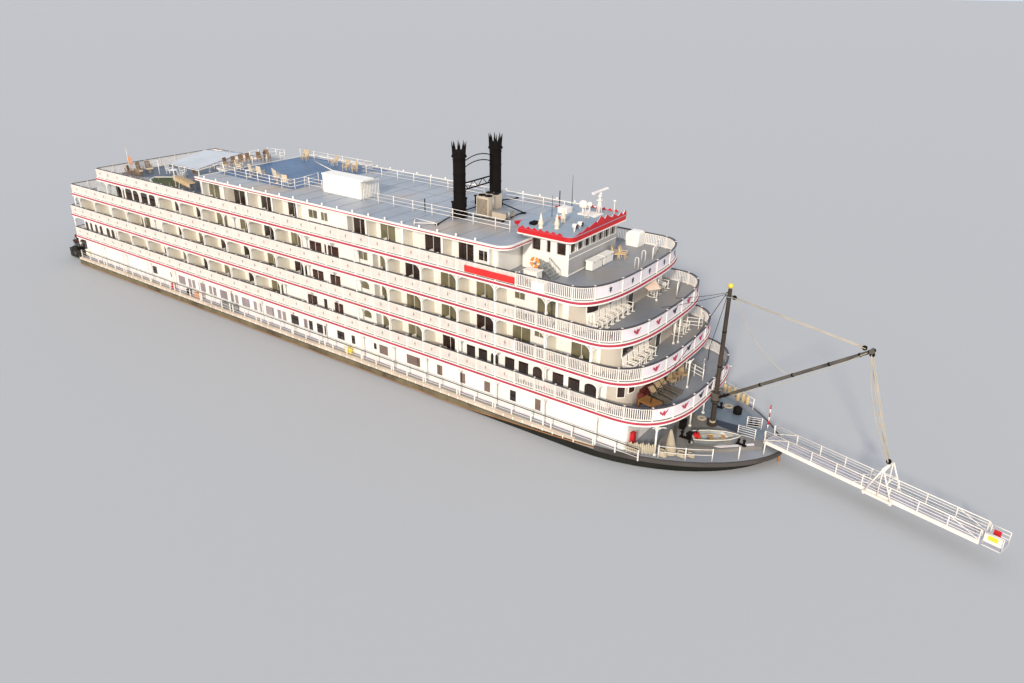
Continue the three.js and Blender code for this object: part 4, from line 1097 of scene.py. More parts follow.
def rail(shape, path, z, step=None, posts=None, bars=(0.33, 0.66, 0.98), post=0.035, bar=0.022):
    """Pipe railing along a path of plan points, 1 m high, its posts a step apart or at these
    distances."""
    for distance in posts or even_posts(path, step):
        x, y, _ = point_on(path, distance)
        shape.pole(x, y, z, z + 1.0, post)
        shape.ball((x, y, z + 1.0), post * 1.25, 8, 5)
    for high in bars:
        shape.tube([(x, y, z + high) for x, y in path], bar, 6)


def bow_half(x):
    """Half width of the hull at X."""
    share = max(0.0, (x - BOW_CURVE_X) / BOW_REACH)
    return HALF_BEAM * (1 - share * share) ** BOW_POWER


def foredeck_gear():
    """Dark patch, painted floor, bollards, marker post, gates and vent of the foredeck."""
    z = FOREDECK_Z
    shape = Shape()
    # Dark navy patch from the porch past the mast towards the gates.
    navy_patch = [(50.44, 0.72), (52.42, 0.09), (54.14, -0.05), (53.75, 1.08)]
    shape.prism(navy_patch, z + 0.008, z + 0.02, 1)
    port = [(x, y) for x, y in sheer(1.22) if y > 0 and x > 49.7]
    shape.prism([(49.66, 0.95)] + navy_patch[:3] + [(55.2, -0.3)] + port + [(49.66, port[-1][1])],
                z + 0.002, z + 0.008, 5)
    shape.prism([(51.5, -3.7), (53.8, -2.9), (55.75, -1.05), (55.6, -0.85), (53.7, -2.65),
                 (51.5, -3.45)], z + 0.002, z + 0.03, 2)
    shape.prism([(50.1, -5.6), (52.3, -4.9), (52.4, -4.7), (50.1, -5.4)], 1.01, 1.05, 2)
    for x, y in ((51.25, 2.98), (51.0, -3.2), (54.6, 1.9), (54.9, -1.6)):
        for near in (x - 0.22, x + 0.22):
            shape.pole(near, y, z, z + 0.42, 0.1, 10, 0.085, 3)
            shape.pole(near, y, z + 0.42, z + 0.48, 0.13, 10, slot=3)
        shape.post(x, y, z, z + 0.06, 0.4, 3, 0.14)
    for k in range(6):
        low = z + 0.02 + k * 0.35
        shape.pole(55.7, 2.0, low, low + 0.35, 0.05, slot=4 if k % 2 else 0)
    for a, b in (((54.2, -0.5), (55.5, -0.38)), ((54.3, 1.2), (55.35, 1.55))):
        for x, y in (a, b):
            shape.pole(x, y, z, z + 1.0, 0.035)
        for high in (0.2, 0.4, 0.6, 0.8, 0.97):
            shape.rod((*a, z + high), (*b, z + high), 0.02, 6)
    shape.box(50.05, 50.45, -2.2, -1.6, z, z + 0.7, 3)
    shape.lathe((52.9, 2.9, z), [(0.25, 0), (0.36, 0.05), (0.36, 0.5), (0.2, 0.62), (0.1, 0.7)],
                14, 3)
    shape.build("foredeck_gear", [RAIL_WHITE, NAVY, PANEL_SHADE_GREY, BLACK, BRIGHT_RED, BOW_BLUE])


def bow_rails():
    shape = Shape()
    for side, end in ((-1, 53.84), (1, 53.54)):
        path = [(x, side * (bow_half(x) - 0.2)) for x in spots(50.4, end, 6)]
        rail(shape, path, MAIN_DECK_Z, 1.75, bars=(0.5, 0.97), post=0.045)
    for x, y in ((55.33, -3.17), (56.6, -1.36)):
        shape.pole(x, y, MAIN_DECK_Z, 2.0, 0.055, 8, 0.05)
        shape.ball((x, y, 2.02), 0.07, 8, 5)
    shape.build("bow_rails", [RAIL_WHITE], replaces=["bow_rail_starboard", "bow_rail_port"])


def porch():
    shape = Shape()
    top = DECKS[2]["z"] - SLAB
    posts = [(50.05, -6.4, MAIN_DECK_Z), (50.6, -1.3, FOREDECK_Z), (50.6, 1.3, FOREDECK_Z),
             (50.05, 6.4, MAIN_DECK_Z)]
    for x, y, foot in posts:
        shape.pole(x, y, foot, top, 0.075, 10)
        shape.pole(x, y, foot, foot + 0.12, 0.13, 10)
        brackets(shape, (x, y, top - 0.02), (0.1, 1, 0), 0.62, 0.6)
    shape.bars([(x, y, top - 0.08) for x, y, _ in posts], 0.12, 0.14)
    shape.build("porch", [WHITE], replaces=["bow_porch"])


def ropes_and_fenders():
    """Hanging rope ends, heaps and coils on the foredeck, and the fenders by its port rail."""
    shape = Shape()
    for i in range(15):
        low, high = 1.02 + 0.05 * (i % 2), 1.85 + 0.08 * (i % 3)
        shape.lathe((48.2 + 0.13 * i, -7.35 + 0.065 * i, low), [
            (0.03, 0), (0.065, 0.06), (0.075, 0.5), (0.07, high - low - 0.1),
            (0.03, high - low)], 8)
    for x, y, around, layers in ((50.55, -6.15, 0.34, 5), (51.75, -5.35, 0.36, 4),
                                 (52.35, -5.0, 0.26, 3)):
        for i in range(layers):
            shape.tube([(x + (around - 0.03 * i) * math.cos(t), y + 0.7 * around * math.sin(t),
                         1.08 + 0.09 * i + 0.03 * math.sin(3 * t))
                        for t in spots(0, 6.28, 15)[:-1]], 0.05, 5, closed=True)
    coil, turns, steps = [], 26, 8
    for i, t in enumerate(spots(0, 1, turns * steps)):
        radius, angle = 0.42 * (1 - t) ** 0.8 + 0.03, 2 * math.pi / steps * i
        coil.append((50.93 - 0.33 * t + radius * math.cos(angle),
                     -5.48 + 0.48 * t + radius * math.sin(angle), 1.03 + 1.7 * t))
    shape.tube(coil, 0.045, 5)
    turns, steps = 5, 12
    for x, y in ((51.9, 3.6), (53.1, -2.0), (50.9, 0.4)):
        flat = [(0.16 + 0.05 * i / steps, 2 * math.pi / steps * i) for i in range(turns * steps)]
        shape.tube([(x + radius * math.cos(t), y + radius * math.sin(t), FOREDECK_Z + 0.05)
                    for radius, t in flat], 0.028, 5)
    shape.build("ropes", [ROPE], slot="rope")

    shape = Shape()
    for i, x in enumerate(spots(50.5, 53.0, 6)):
        y = bow_half(x) - 0.42 - 0.1 * (i % 2)
        shape.lathe((x, y, 1.05 + 0.1 * (i % 3)), [
            (0.03, 0), (0.14, 0.08), (0.17, 0.25), (0.17, 0.62), (0.13, 0.78), (0.04, 0.86)], 12)
        shape.rod((x, y, 1.9), (x, y + 0.2, 1.97), 0.015, 5, slot=1)
    shape.build("fenders", [STRAW, ROPE])


def skiff_gear():
    """Rim, benches, outboard motor, tank and oars of the skiff."""
    shape = Shape()
    shape.at(51.75, -3.6, 1.303, 0.61)
    half, length, depth = 0.76, 3.7, 0.7
    port = [(length, 0.0), (length * 0.9, half * 0.35), (length * 0.71, half * 0.8),
            (length * 0.38, half), (0.0, half * 0.85)]
    shape.tube([(x, -y, depth) for x, y in port[:0:-1]] + [(x, y, depth) for x, y in port],
               0.04, 6)
    shape.bar((0.0, -half * 0.85, depth), (0.0, half * 0.85, depth), 0.06, 0.06)
    for x in (1.3, 2.25):
        shape.box(x, x + 0.3, -half * 0.78, half * 0.78, 0.46, 0.49, 1)
    shape.box(0.35, 0.75, -half * 0.7, half * 0.7, 0.44, 0.47, 1)
    shape.lathe((-0.16, 0.0, 0.35), [(0.08, 0), (0.12, 0.1), (0.12, 0.32), (0.17, 0.36),
                                     (0.19, 0.5), (0.15, 0.64), (0.05, 0.68)], 12, 2)
    shape.box(-0.24, -0.08, -0.05, 0.05, 0.0, 0.4, 2)
    shape.rod((-0.05, 0.0, 0.85), (0.5, 0.28, 0.98), 0.03, 6, slot=2)
    shape.box(0.08, 0.5, -0.15, 0.22, 0.5, 0.86, 3)
    shape.pole(0.3, 0.04, 0.86, 0.95, 0.05, slot=2)
    for side in SIDES:
        shape.rod((1.0, side * 0.4, 0.55), (3.0, side * 0.22, 0.6), 0.025, 6, slot=4)
        shape.post(3.1, side * 0.2, 0.58, 0.61, 0.15, 4, 0.07)
    shape.build("skiff_gear", [CREAM_RIM, WOOD, BLACK, BRIGHT_RED, TAN], slot="grey_metal")


landing_stage()
stage_flap()
stage_falls()
boom_gear()
rigging()
rub_rails()
foredeck_gear()
bow_rails()
porch()
ropes_and_fenders()
skiff_gear()


# Main deck and stern

def main_rails():
    start, end = STERN_X + 0.2, 49.4
    shape = Shape()
    for _ in shape.both(7.84):
        shape.box(start, end, -0.05, 0.05, 1.96, 2.0, 1)
        for z in (1.28, 1.62):
            shape.rod((start, 0, z), (end, 0, z), 0.018, 6)
        for x in even_spots(start, end, GRID_STEP):
            shape.post(x, 0, 1.003, 1.97, 0.045, deep=0.04)
    shape.build("main_rails", [RAIL_WHITE, CAP],
                replaces=["main_rail_starboard", "main_rail_port"])


def main_deck_trim():
    """Seams, foot board and doors of the main deck's house."""
    shape = Shape()
    for _ in shape.both(MAIN_HOUSE_HALF):
        for x in spots(-27.0, 47.0, 31):
            shape.box(x - 0.03, x + 0.03, 0, 0.02, 1.05, 3.5)
        shape.box(-28.5, 47.6, 0, 0.035, 1.0, 1.2, 1)
        for x in (-10.6, 21.6):
            shape.box(x, x + 0.9, 0, 0.03, 1.1, 3.1, 2)
            for jamb in (x - 0.06, x + 0.9):
                shape.box(jamb, jamb + 0.06, 0, 0.05, 1.1, 3.16)
            shape.box(x - 0.06, x + 0.96, 0, 0.05, 3.1, 3.16)
            shape.box(x + 0.28, x + 0.62, 0, 0.04, 2.2, 2.8, 3)
    shape.build("main_deck_trim", [WHITE, PANEL_SHADE_GREY, CREAM_AND_BOUNCE, GLASS])


STERN_SCROLL = [(0, 0), (0, -0.75), (0.1, -0.95), (0.25, -0.9), (0.3, -0.72), (0.2, -0.62),
                (0.14, -0.7), (0.19, -0.76), (0.12, -0.84), (0.08, -0.66), (0.3, -0.35),
                (0.6, -0.18), (0.95, -0.1), (1.0, 0)]
# Stern walls of the houses, by deck
STERN_WALLS = {2: -28.3, 3: -27.5, 4: -19.0, 5: -2.2}


def stern_trim():
    """Lockers, the dark arch at the quarter, scrolls under the decks' ends, posts, windows and
    doors of the stern walls, and the red boards behind the wheel."""
    shape = Shape()
    for _ in shape.both():
        shape.box(-28.4, -27.7, 7.22, 7.55, 1.3, 2.0, 3)
        shape.box(-28.45, -27.65, 7.2, 7.6, 2.0, 2.05, 3)
        # Dark glass plate in an arch: a dark sheet that paints the shade inside the opening at the
        # quarter.
        arch = [(-29.0, 1.02), (-28.52, 1.02)] + [
            (-28.76 + 0.24 * math.cos(t), 2.75 + 0.3 * math.sin(t)) for t in spots(0, math.pi, 9)]
        shape.plate(arch, (0, 7.24, 0), ALONG, UP, 0.03, 2)
        for deck in (2, 3, 4):
            corner = (DECKS[deck]["aft"] + 0.05, HALF_BEAM - 0.12, DECKS[deck]["z"] - SLAB)
            for way in (ALONG, (0, -1, 0)):
                shape.plate(STERN_SCROLL, corner, way, UP, 0.06)
    for deck, x in ((2, -28.9), (3, -27.7)):
        high = DECKS[deck]["ceiling"]
        for y, signs in ((-7.8, (1,)), (-4.0, SIDES), (0.0, SIDES), (4.0, SIDES), (7.8, (-1,))):
            shape.post(x, y, DECKS[deck]["z"] + 1.0, high, 0.05, deep=0.06)
            brackets(shape, (x, y, high), ACROSS, signs=signs)
    for deck, wall in STERN_WALLS.items():
        low = DECKS[deck]["z"]
        shape.turn = facing(-1, 0, -wall)
        for y in (-5.2, -2.9, 2.9, 5.2):
            window(shape, y - 0.45, y + 0.45, low + 0.9, low + 1.9, "curtain", head=0.05,
                   sill=0.05, mullion=0.03)
        shape.box(-0.5, 0.5, 0, 0.03, low + 0.02, low + 2.05, 3)
        for y in (-0.56, 0.5):
            shape.box(y, y + 0.06, 0, 0.05, low + 0.02, low + 2.1)
        shape.box(-0.3, 0.3, 0, 0.045, low + 1.1, low + 1.8, 2)
    shape.turn = None
    shape.box(-28.53, -28.5, -6.6, 6.6, 1.2, 3.2, 4)
    for y in spots(-6.6, 6.6, 13):
        shape.box(-28.56, -28.5, y - 0.05, y + 0.05, 1.2, 3.2)
    shape.box(-28.56, -28.5, -6.65, 6.65, 3.2, 3.32)
    shape.build("stern_trim", [WHITE, STEEL, GLASS, CREAM_AND_BOUNCE, DARK_RED])


def wheel_irons():
    """Straps, bolts, bearings and stays of the wheel beams."""
    shape = Shape()
    for _ in shape.both(6.95):
        for x in (-32.9, -31.0, -30.1, -29.35):
            shape.post(x, 0, 0.18, 1.33, 0.06, 1, 0.3)
        for x in (-32.35, -31.55):
            for z in (0.3, 0.85):
                for k in SIDES:
                    shape.rod((x, k * 0.28, z), (x, k * 0.33, z), 0.06, 8, slot=1)
        shape.rod((WHEEL["x"], -0.36, WHEEL["z"]), (WHEEL["x"], 0.36, WHEEL["z"]), 0.24, 14, slot=1)
        shape.rod((-29.15, 0, 2.9), (-33.0, 0, 1.33), 0.035, 6, slot=1)
        shape.box(-29.6, -29.12, -0.12, 0.12, 1.3, 3.0)
    shape.build("wheel_irons", [BLACK, WHEEL_IRON], slot="black_paint")


def wheel():
    """Bucket wheel with iron rims, timber arms and hubs in five planes."""
    centre = Matrix.Translation((WHEEL["x"], 0, WHEEL["z"]))
    half, count, outer = WHEEL["half"], WHEEL["buckets"], WHEEL["radius"]
    inner = outer - WHEEL["depth"]
    planes = spots(-half + 0.1, half - 0.1, 5)
    shape = Shape(centre)
    shape.rod((0, -7.3, 0), (0, 7.3, 0), 0.27, 16, slot=1)
    for y in planes:
        for thick, radius in ((0.12, 0.42), (0.06, 0.6)):
            shape.rod((0, y - thick, 0), (0, y + thick, 0), radius, count * 2, slot=1)
        for radius, size in ((inner + 0.18, 0.05), (0.95, 0.035), (outer - 0.2, 0.03)):
            shape.tube(circle(0, y, 0, radius, count * 3, "xz"), size, 6, 1, closed=True)
    for i in range(count):
        shape.turn = centre @ Matrix.Rotation(i * 2 * math.pi / count, 4, "Y")
        for y in planes:
            for side in (y - 0.09, y + 0.09):
                shape.bar((0.3, side, 0), (outer - 0.1, side, 0), 0.05, 0.15, 1)
            for x in (inner + 0.15, outer - 0.2):
                shape.post(x, y, 0.07, 0.1, 0.05, 1, 0.14)
        for x0, x1 in ((inner, inner + 0.235), (inner + 0.255, inner + 0.49),
                       (inner + 0.51, outer)):
            shape.box(x0, x1, -half, half, 0.0, 0.07)
    shape.build("wheel_timber", [WHEEL_RED_IN_SHADE, WHEEL_IRON], body="sternwheel",
                replaces=["paddlewheel"], slot="red_paint")


main_rails()
main_deck_trim()
stern_trim()
wheel_irons()
wheel()


# Deck furniture

# Cushions of a chair: half width, underside and top of the seat, foot and head of the back as
# (X, Z) pairs, width and thickness of the back
CUSHIONS = {
    "straw": (0.25, 0.43, 0.49, (-0.24, 0.45), (-0.34, 1.0), 0.48, 0.05),
    "brown": (0.25, 0.42, 0.48, (-0.24, 0.45), (-0.34, 1.0), 0.48, 0.05),
    "thick": (0.24, 0.43, 0.53, (-0.2, 0.5), (-0.28, 0.95), 0.46, 0.08),
    "tub": (0.24, 0.4, 0.5, (-0.2, 0.45), (-0.3, 0.95), 0.46, 0.07),
}


def chair(shape, x, y, z, heading, slot=0, rocker=False, size=1.0, cushion=None, seat_slot=None):
    """Slatted armchair that faces along its heading, its seat's cushion of another slot."""
    shape.at(x, y, z, heading)
    s = size
    for py in (-0.26 * s, 0.26 * s):
        shape.bar((0.24 * s, py, 0.03), (0.24 * s, py, 0.64 * s), 0.045, 0.05, slot)
        shape.bar((-0.2 * s, py, 0.03), (-0.36 * s, py, 1.1 * s), 0.045, 0.05, slot)
        shape.bar((-0.32 * s, py, 0.65 * s), (0.3 * s, py, 0.65 * s), 0.09, 0.035, slot)
        if rocker:
            shape.tube([(t, py, 0.03 + 0.1 * t * t / 0.3) for t in spots(-0.55 * s, 0.4 * s, 6)],
                       0.028, 5, slot)
    for t in spots(-0.2 * s, 0.24 * s, 5):
        shape.bar((t, -0.27 * s, 0.42 * s), (t, 0.27 * s, 0.42 * s), 0.085 * s, 0.03, slot)
    for t in spots(-0.2 * s, 0.2 * s, 5):
        shape.bar((-0.25 * s, t, 0.46 * s), (-0.35 * s, t, 1.04 * s), 0.06 * s, 0.022, slot,
                  ALONG)
    shape.bar((-0.355 * s, -0.26 * s, 1.06 * s), (-0.355 * s, 0.26 * s, 1.06 * s), 0.04, 0.09,
              slot)
    if cushion:
        half, low, high, foot, head, wide, thick = CUSHIONS[cushion]
        shape.box(-0.22, 0.24, -half, half, low, high, slot if seat_slot is None else seat_slot)
        shape.bar((foot[0], 0, foot[1]), (head[0], 0, head[1]), wide, thick, slot, ALONG)
    shape.turn = None


def chairs(shape, z, places, slot=0, **options):
    """Chairs at (X, Y, heading) places of one floor."""
    for x, y, heading in places:
        chair(shape, x, y, z, heading, slot, **options)


def table(shape, x, y, z, radius=0.4, high=0.68, slot=0):
    shape.lathe((x, y, z), [(0.2, 0), (0.2, 0.03), (0.04, 0.05), (0.035, high - 0.06),
                            (radius, high - 0.04), (radius, high)], 14, slot, smooth=False)


def lounger(shape, x, y, z, heading, slot, cushion_slot):
    """Long slatted chair with a raised back and a cushion on it."""
    shape.at(x, y, z, heading)
    slope = (0.62, 0, 0.78)
    for py in (-0.261, 0.261):
        for end, high in ((1.0, 0.3), (-1.0, 0.82)):
            shape.bar((-0.4, py, 0.33), (end, py, high), 0.05, 0.06, slot)
        for t in (-0.55, 0.1, 0.9):
            shape.bar((t, py, 0.0), (t, py, 0.33), 0.05, 0.05, slot)
        shape.bar((-0.55, py, 0.58), (0.15, py, 0.55), 0.07, 0.03, slot)
    for t in spots(-0.35, 0.97, 12):
        shape.post(t, 0, 0.345, 0.365, 0.045, slot, 0.29)
    for t in spots(0.05, 0.97, 6):
        a = Vector((-0.4, 0, 0.36)).lerp(Vector((-1.0, 0, 0.86)), t)
        shape.bar(a - Vector((0, 0.29, 0)), a + Vector((0, 0.29, 0)), 0.09, 0.02, slot, slope)
    shape.bar((-0.5, 0, 0.48), (-0.92, 0, 0.84), 0.5, 0.09, cushion_slot, slope)
    shape.turn = None


# Roof

# Top of the roof's plates, where the furniture stands
ROOF_FLOOR = ROOF_Z + 0.02
ROOF_EDGE = {"aft": -2.2, "front": 36.9, "half": 7.43, "radius": 1.1}
FINIAL = [(0.09, 0), (0.05, 0.05), (0.09, 0.13), (0.07, 0.2), (0.02, 0.24)]


def roof_edge():
    """Board and red moulding round the roof, with a row of finials on each side."""
    aft, front, half, radius = ROOF_EDGE.values()
    bend = front - radius
    path = ([(aft, half)] + corner_arc(front, half, radius, spots(0, math.pi / 2, 7))
            + [(front, 3.85)])
    shape = Shape()
    for _ in shape.both():
        for out, z0, z1, slot in ((0.05, 14.5, 14.83, 0), (0.08, 14.62, 14.7, 1),
                                  (0.1, 14.79, 14.86, 0)):
            outer = [(x + out * (x > bend), y + out) for x, y in path]
            inner = [(x - 0.12 * (x > bend), y - 0.12) for x, y in outer]
            shape.strip(outer, inner, z0, z1, slot)
        for k in range(19):
            shape.lathe((-0.7 + k * GRID_STEP, 7.38, 14.86), FINIAL, 10)
    shape.box(aft - 0.06, aft + 0.04, -half, half, 14.5, 14.83)
    shape.box(aft - 0.09, aft + 0.04, -half, half, 14.62, 14.7, 1)
    shape.build("roof_edge", [WHITE, RED])


def roof_rails():
    shape = Shape()
    for step, path in (
            (1.9, [(12.4, -3.5), (9.9, -3.5), (9.9, -5.2), (-1.9, -4.9), (-1.9, 3.2)]),
            (2.2, [(9.8, -3.4), (9.5, -1.4)]), (2.2, [(-1.6, 5.8), (9.9, 5.8)]),
            (2.2, [(9.9, 5.8), (9.9, 4.2), (34.8, 4.2)])):
        rail(shape, path, ROOF_Z, step)
    rail(shape, [(18.2, -3.8), (34.8, -3.9)], ROOF_Z,
         posts=[0.05, 1.9, 3.8, 6.1, 8.3, 10.6, 12.8, 15.1, 16.55])
    shape.build("roof_rails", [RAIL_WHITE],
                replaces=["sun_rail_aft", "sun_rail_port", "sun_rail_starboard"])


def roof_floor():
    """Blue terrace floors and the seams of the roof's plates."""
    shape = Shape()
    shape.box(-1.9, 9.8, -4.85, 5.7, ROOF_Z + 0.001, ROOF_Z + 0.012)
    shape.box(-2.0, 11.0, 5.85, 7.1, ROOF_Z + 0.001, ROOF_Z + 0.008)
    for x in spots(0.0, 34.0, 18):
        shape.box(x - 0.012, x + 0.012, -7.3, 7.3, ROOF_Z, ROOF_Z + 0.015, 1)
    for y in (-2.0, 2.0):
        shape.box(-2.1, 35.0, y - 0.012, y + 0.012, ROOF_Z, ROOF_Z + 0.016, 1)
    shape.build("roof_paint_lines", [ROOF_BLUE, ROOF_SEAM], slot="deck_paint")


def deckhouse_trim():
    shape = Shape()
    shape.box(12.6, 18.05, -3.65, -2.15, 16.45, 16.6)
    for x in spots(12.8, 17.5, 9):
        shape.box(x - 0.02, x + 0.02, -3.63, -3.58, 14.85, 16.4)
    for y in spots(-3.5, -1.3, 12):
        shape.box(17.68, 17.73, y - 0.03, y + 0.03, ROOF_FLOOR, 16.3)
    shape.box(17.66, 17.75, -3.55, -1.25, 16.26, 16.34)
    shape.build("deckhouse_trim", [WHITE])


def roof_equipment():
    """Grilles and fans of the cooling unit, and the boxes and pipes beside it."""
    shape = Shape()
    for z in spots(14.95, 16.2, 14):
        shape.box(29.17, 29.2, -1.05, 0.7, z, z + 0.03, 1)
        shape.box(29.3, 30.4, -1.19, -1.155, z, z + 0.03, 1)
    for x in (29.5, 30.2):
        for y in (-0.7, 0.35):
            shape.lathe((x, y, 16.45), [(0.3, 0), (0.32, 0.08), (0.26, 0.1), (0.1, 0.06)], 16, 1)
    shape.box(30.85, 32.3, -1.1, 0.2, ROOF_FLOOR, 15.35)
    shape.box(30.8, 32.35, -1.15, 0.25, 15.35, 15.4, 2)
    shape.pole(30.6, -0.6, 14.85, 16.6, 0.06, slot=2)
    shape.pole(32.5, -0.9, ROOF_FLOOR, 15.6, 0.12, 10, slot=2)
    shape.box(34.2, 34.5, 1.1, 2.0, ROOF_FLOOR, 15.3)
    shape.build("roof_equipment", [BEIGE, BLACK, STEEL], slot="beige_paint")


def roof_struts():
    """Struts and bands of the chimneys, vents, poles and the frames that lie on the roof."""
    shape = Shape()
    for foot, top in (((28.65, -5.74, 14.84), (28.2, -3.1, 15.0)),
                      ((28.65, 5.74, 14.84), (28.2, 3.1, 15.0)),
                      ((32.3, 1.7, 14.86), (29.1, 2.5, 15.1)),
                      ((32.38, -1.6, 14.86), (29.1, -2.5, 15.1)),
                      ((32.17, 1.58, 14.9), (32.38, -1.5, 14.9)),
                      ((28.5, 1.95, 15.2), (28.5, -1.95, 15.2))):
        shape.rod(foot, top, 0.05, 6)
        shape.post(foot[0], foot[1], ROOF_Z, ROOF_Z + 0.1, 0.12)
    for y in (-STACK_Y, STACK_Y):
        for z in (15.6, 16.95, 18.4, 19.6):
            shape.pole(STACK_X, y, z, z + 0.07, 0.555, 20)
        for x, bolt_y, z in circle(STACK_X, y, 14.9, 0.56, 14):
            shape.pole(x, bolt_y, z, 15.1, 0.03, 5)
    for x, y in ((26.9, 1.7), (26.8, 0.4), (26.7, -1.3)):
        shape.pole(x, y, ROOF_Z, 15.5, 0.09, 10)
        shape.pole(x, y, 15.5, 15.62, 0.15, 10)
    shape.pole(25.0, -3.06, ROOF_Z, 15.9, 0.05)
    shape.pole(33.8, 5.0, ROOF_Z, 16.4, 0.045)
    corners = [(26.3, -5.8), (28.8, -5.95), (27.2, -6.9)]
    for a, b in zip(corners, corners[1:] + corners[:1]):
        shape.rod((*a, 15.0), (*b, 15.0), 0.035, 6, slot=1)
        shape.pole(*a, ROOF_Z, 15.0, 0.035, 6, slot=1)
    shape.rod((1.4, 5.2, 14.86), (7.4, 2.8, 14.86), 0.05, 8, slot=1)
    shape.build("roof_struts", [BLACK, RAIL_WHITE], slot="black_paint")


def roof_chairs():
    shape = Shape()
    chairs(shape, ROOF_FLOOR, [(0.06, 5.1, -1.3), (4.8, 5.0, -1.9), (7.6, 4.1, -1.4),
                          (8.7, 4.2, -2.1)])
    chairs(shape, ROOF_FLOOR, [(-1.27, -2.65, 0.4), (1.42, -3.05, 1.4), (2.95, -3.23, 1.8),
                          (5.1, -3.0, 1.2), (5.7, -3.3, 1.4), (8.05, -4.15, 1.9)], 1,
           cushion="straw")
    for x, y in ((2.05, -3.9), (6.5, -4.1), (8.2, 4.9)):
        table(shape, x, y, ROOF_FLOOR, slot=1)
    shape.build("roof_chairs", [TAN, CHAIR_STRAW])

    shape = Shape()
    chairs(shape, ROOF_FLOOR, [(-3.1, -2.85, 0.3), (-3.0, -1.9, 0.1), (-3.15, -0.9, -0.2),
                          (-3.25, 0.15, 0.1), (-2.9, 1.3, 0.0), (-3.3, 2.55, -0.3),
                          (-2.6, 2.0, 0.4)], cushion="brown", seat_slot=1)
    shape.build("roof_brown_chairs", [BROWN_WICKER, TAN])


def roof_landing():
    """Landing at the aft end of the roof, level with it, on posts."""
    shape = Shape()
    shape.prism([(-4.3, -3.4), (-2.2, -3.6), (-2.2, 4.2), (-4.9, 3.9)], 14.66, 14.815, 0, top=1)
    for x, y in ((-4.1, -3.2), (-4.3, 0.3), (-4.6, 3.7)):
        shape.pole(x, y, DECKS[5]["z"], 14.66, 0.06)
    for path in ([(-4.85, 3.85), (-2.3, 4.15)], [(-4.6, 1.2), (-4.85, 3.8)]):
        rail(shape, path, 14.815, 1.2)
    shape.build("roof_landing", [WHITE, ROOF])


roof_edge()
roof_rails()
roof_floor()
deckhouse_trim()
roof_equipment()
roof_struts()
roof_chairs()
roof_landing()


# Pilothouse

PILOT_ROOF = {"aft": 35.0, "front": 40.95, "half": 4.5, "low": 15.2, "high": 15.6}
# Crest over the front edge: places across and heights of its points
CREST = [(-4.2, 15.6), (-3.7, 15.66), (-3.2, 15.78), (-2.9, 15.72), (-2.6, 15.8),
         (-2.1, 15.98), (-1.8, 15.86), (-1.4, 15.98), (-0.9, 16.12), (-0.6, 16.0),
         (0.0, 16.39), (0.6, 16.0), (0.95, 16.3), (1.4, 16.02), (1.8, 15.9), (2.1, 16.1),
         (2.6, 15.86), (2.9, 15.78), (3.3, 15.98), (3.7, 15.72), (4.1, 16.02), (4.25, 15.6)]
SIDE_WAVES = 7


def pilothouse_top():
    """Red roof with a white foot, the waves along its sides and the crest over its front."""
    aft, front, half, low, high = PILOT_ROOF.values()
    side = [(aft, half - 1.7), (aft + 0.95, half)]
    side += corner_arc(front, half, 0.6, spots(0, math.pi / 2, 7))
    outline = [(x, -y) for x, y in side] + side[::-1]

    def grown(share):
        return [(37.9 + (x - 37.9) * share, y * share) for x, y in outline]

    shape = Shape()
    shape.prism(outline, low, high, 1, top=2)
    shape.prism(grown(0.985), high, high + 0.03, 2)
    shape.prism(grown(1.012), low - 0.05, low + 0.04)
    wide = (front - 0.9 - 36.0) / SIDE_WAVES / 2
    wave = [(-wide, 0.0), (-wide, 0.04), (-wide * 0.5, 0.1), (wide * 0.1, 0.24),
            (wide * 0.45, 0.12), (wide, 0.04), (wide, 0.0)]
    for _ in shape.both():
        for i in range(SIDE_WAVES):
            shape.plate(wave, (36.0 + (2 * i + 1) * wide, half - 0.07, high), ALONG, UP, 0.06, 1)
        start = Vector((34.72, 3.12, 15.5))
        shape.bar(start, (35.3, 2.1, 15.5), 0.3, 0.22, 1)
        shape.rod(start + Vector((0.1, 0, -0.1)), start + Vector((0.5, 0, -0.35)), 0.04, 6,
                  slot=1)
    shape.plate(CREST, (front - 0.1, 0, 0), ACROSS, UP, 0.06, 1)
    shape.plate([(y * 0.985, z - 0.04 * (z > 15.62)) for y, z in CREST], (front - 0.155, 0, 0),
                ACROSS, UP, 0.05)
    shape.build("pilothouse_crest", [WHITE, BRIGHT_RED, ROOF_TOP], replaces=["pilothouse_roof"],
                slot="red_paint")


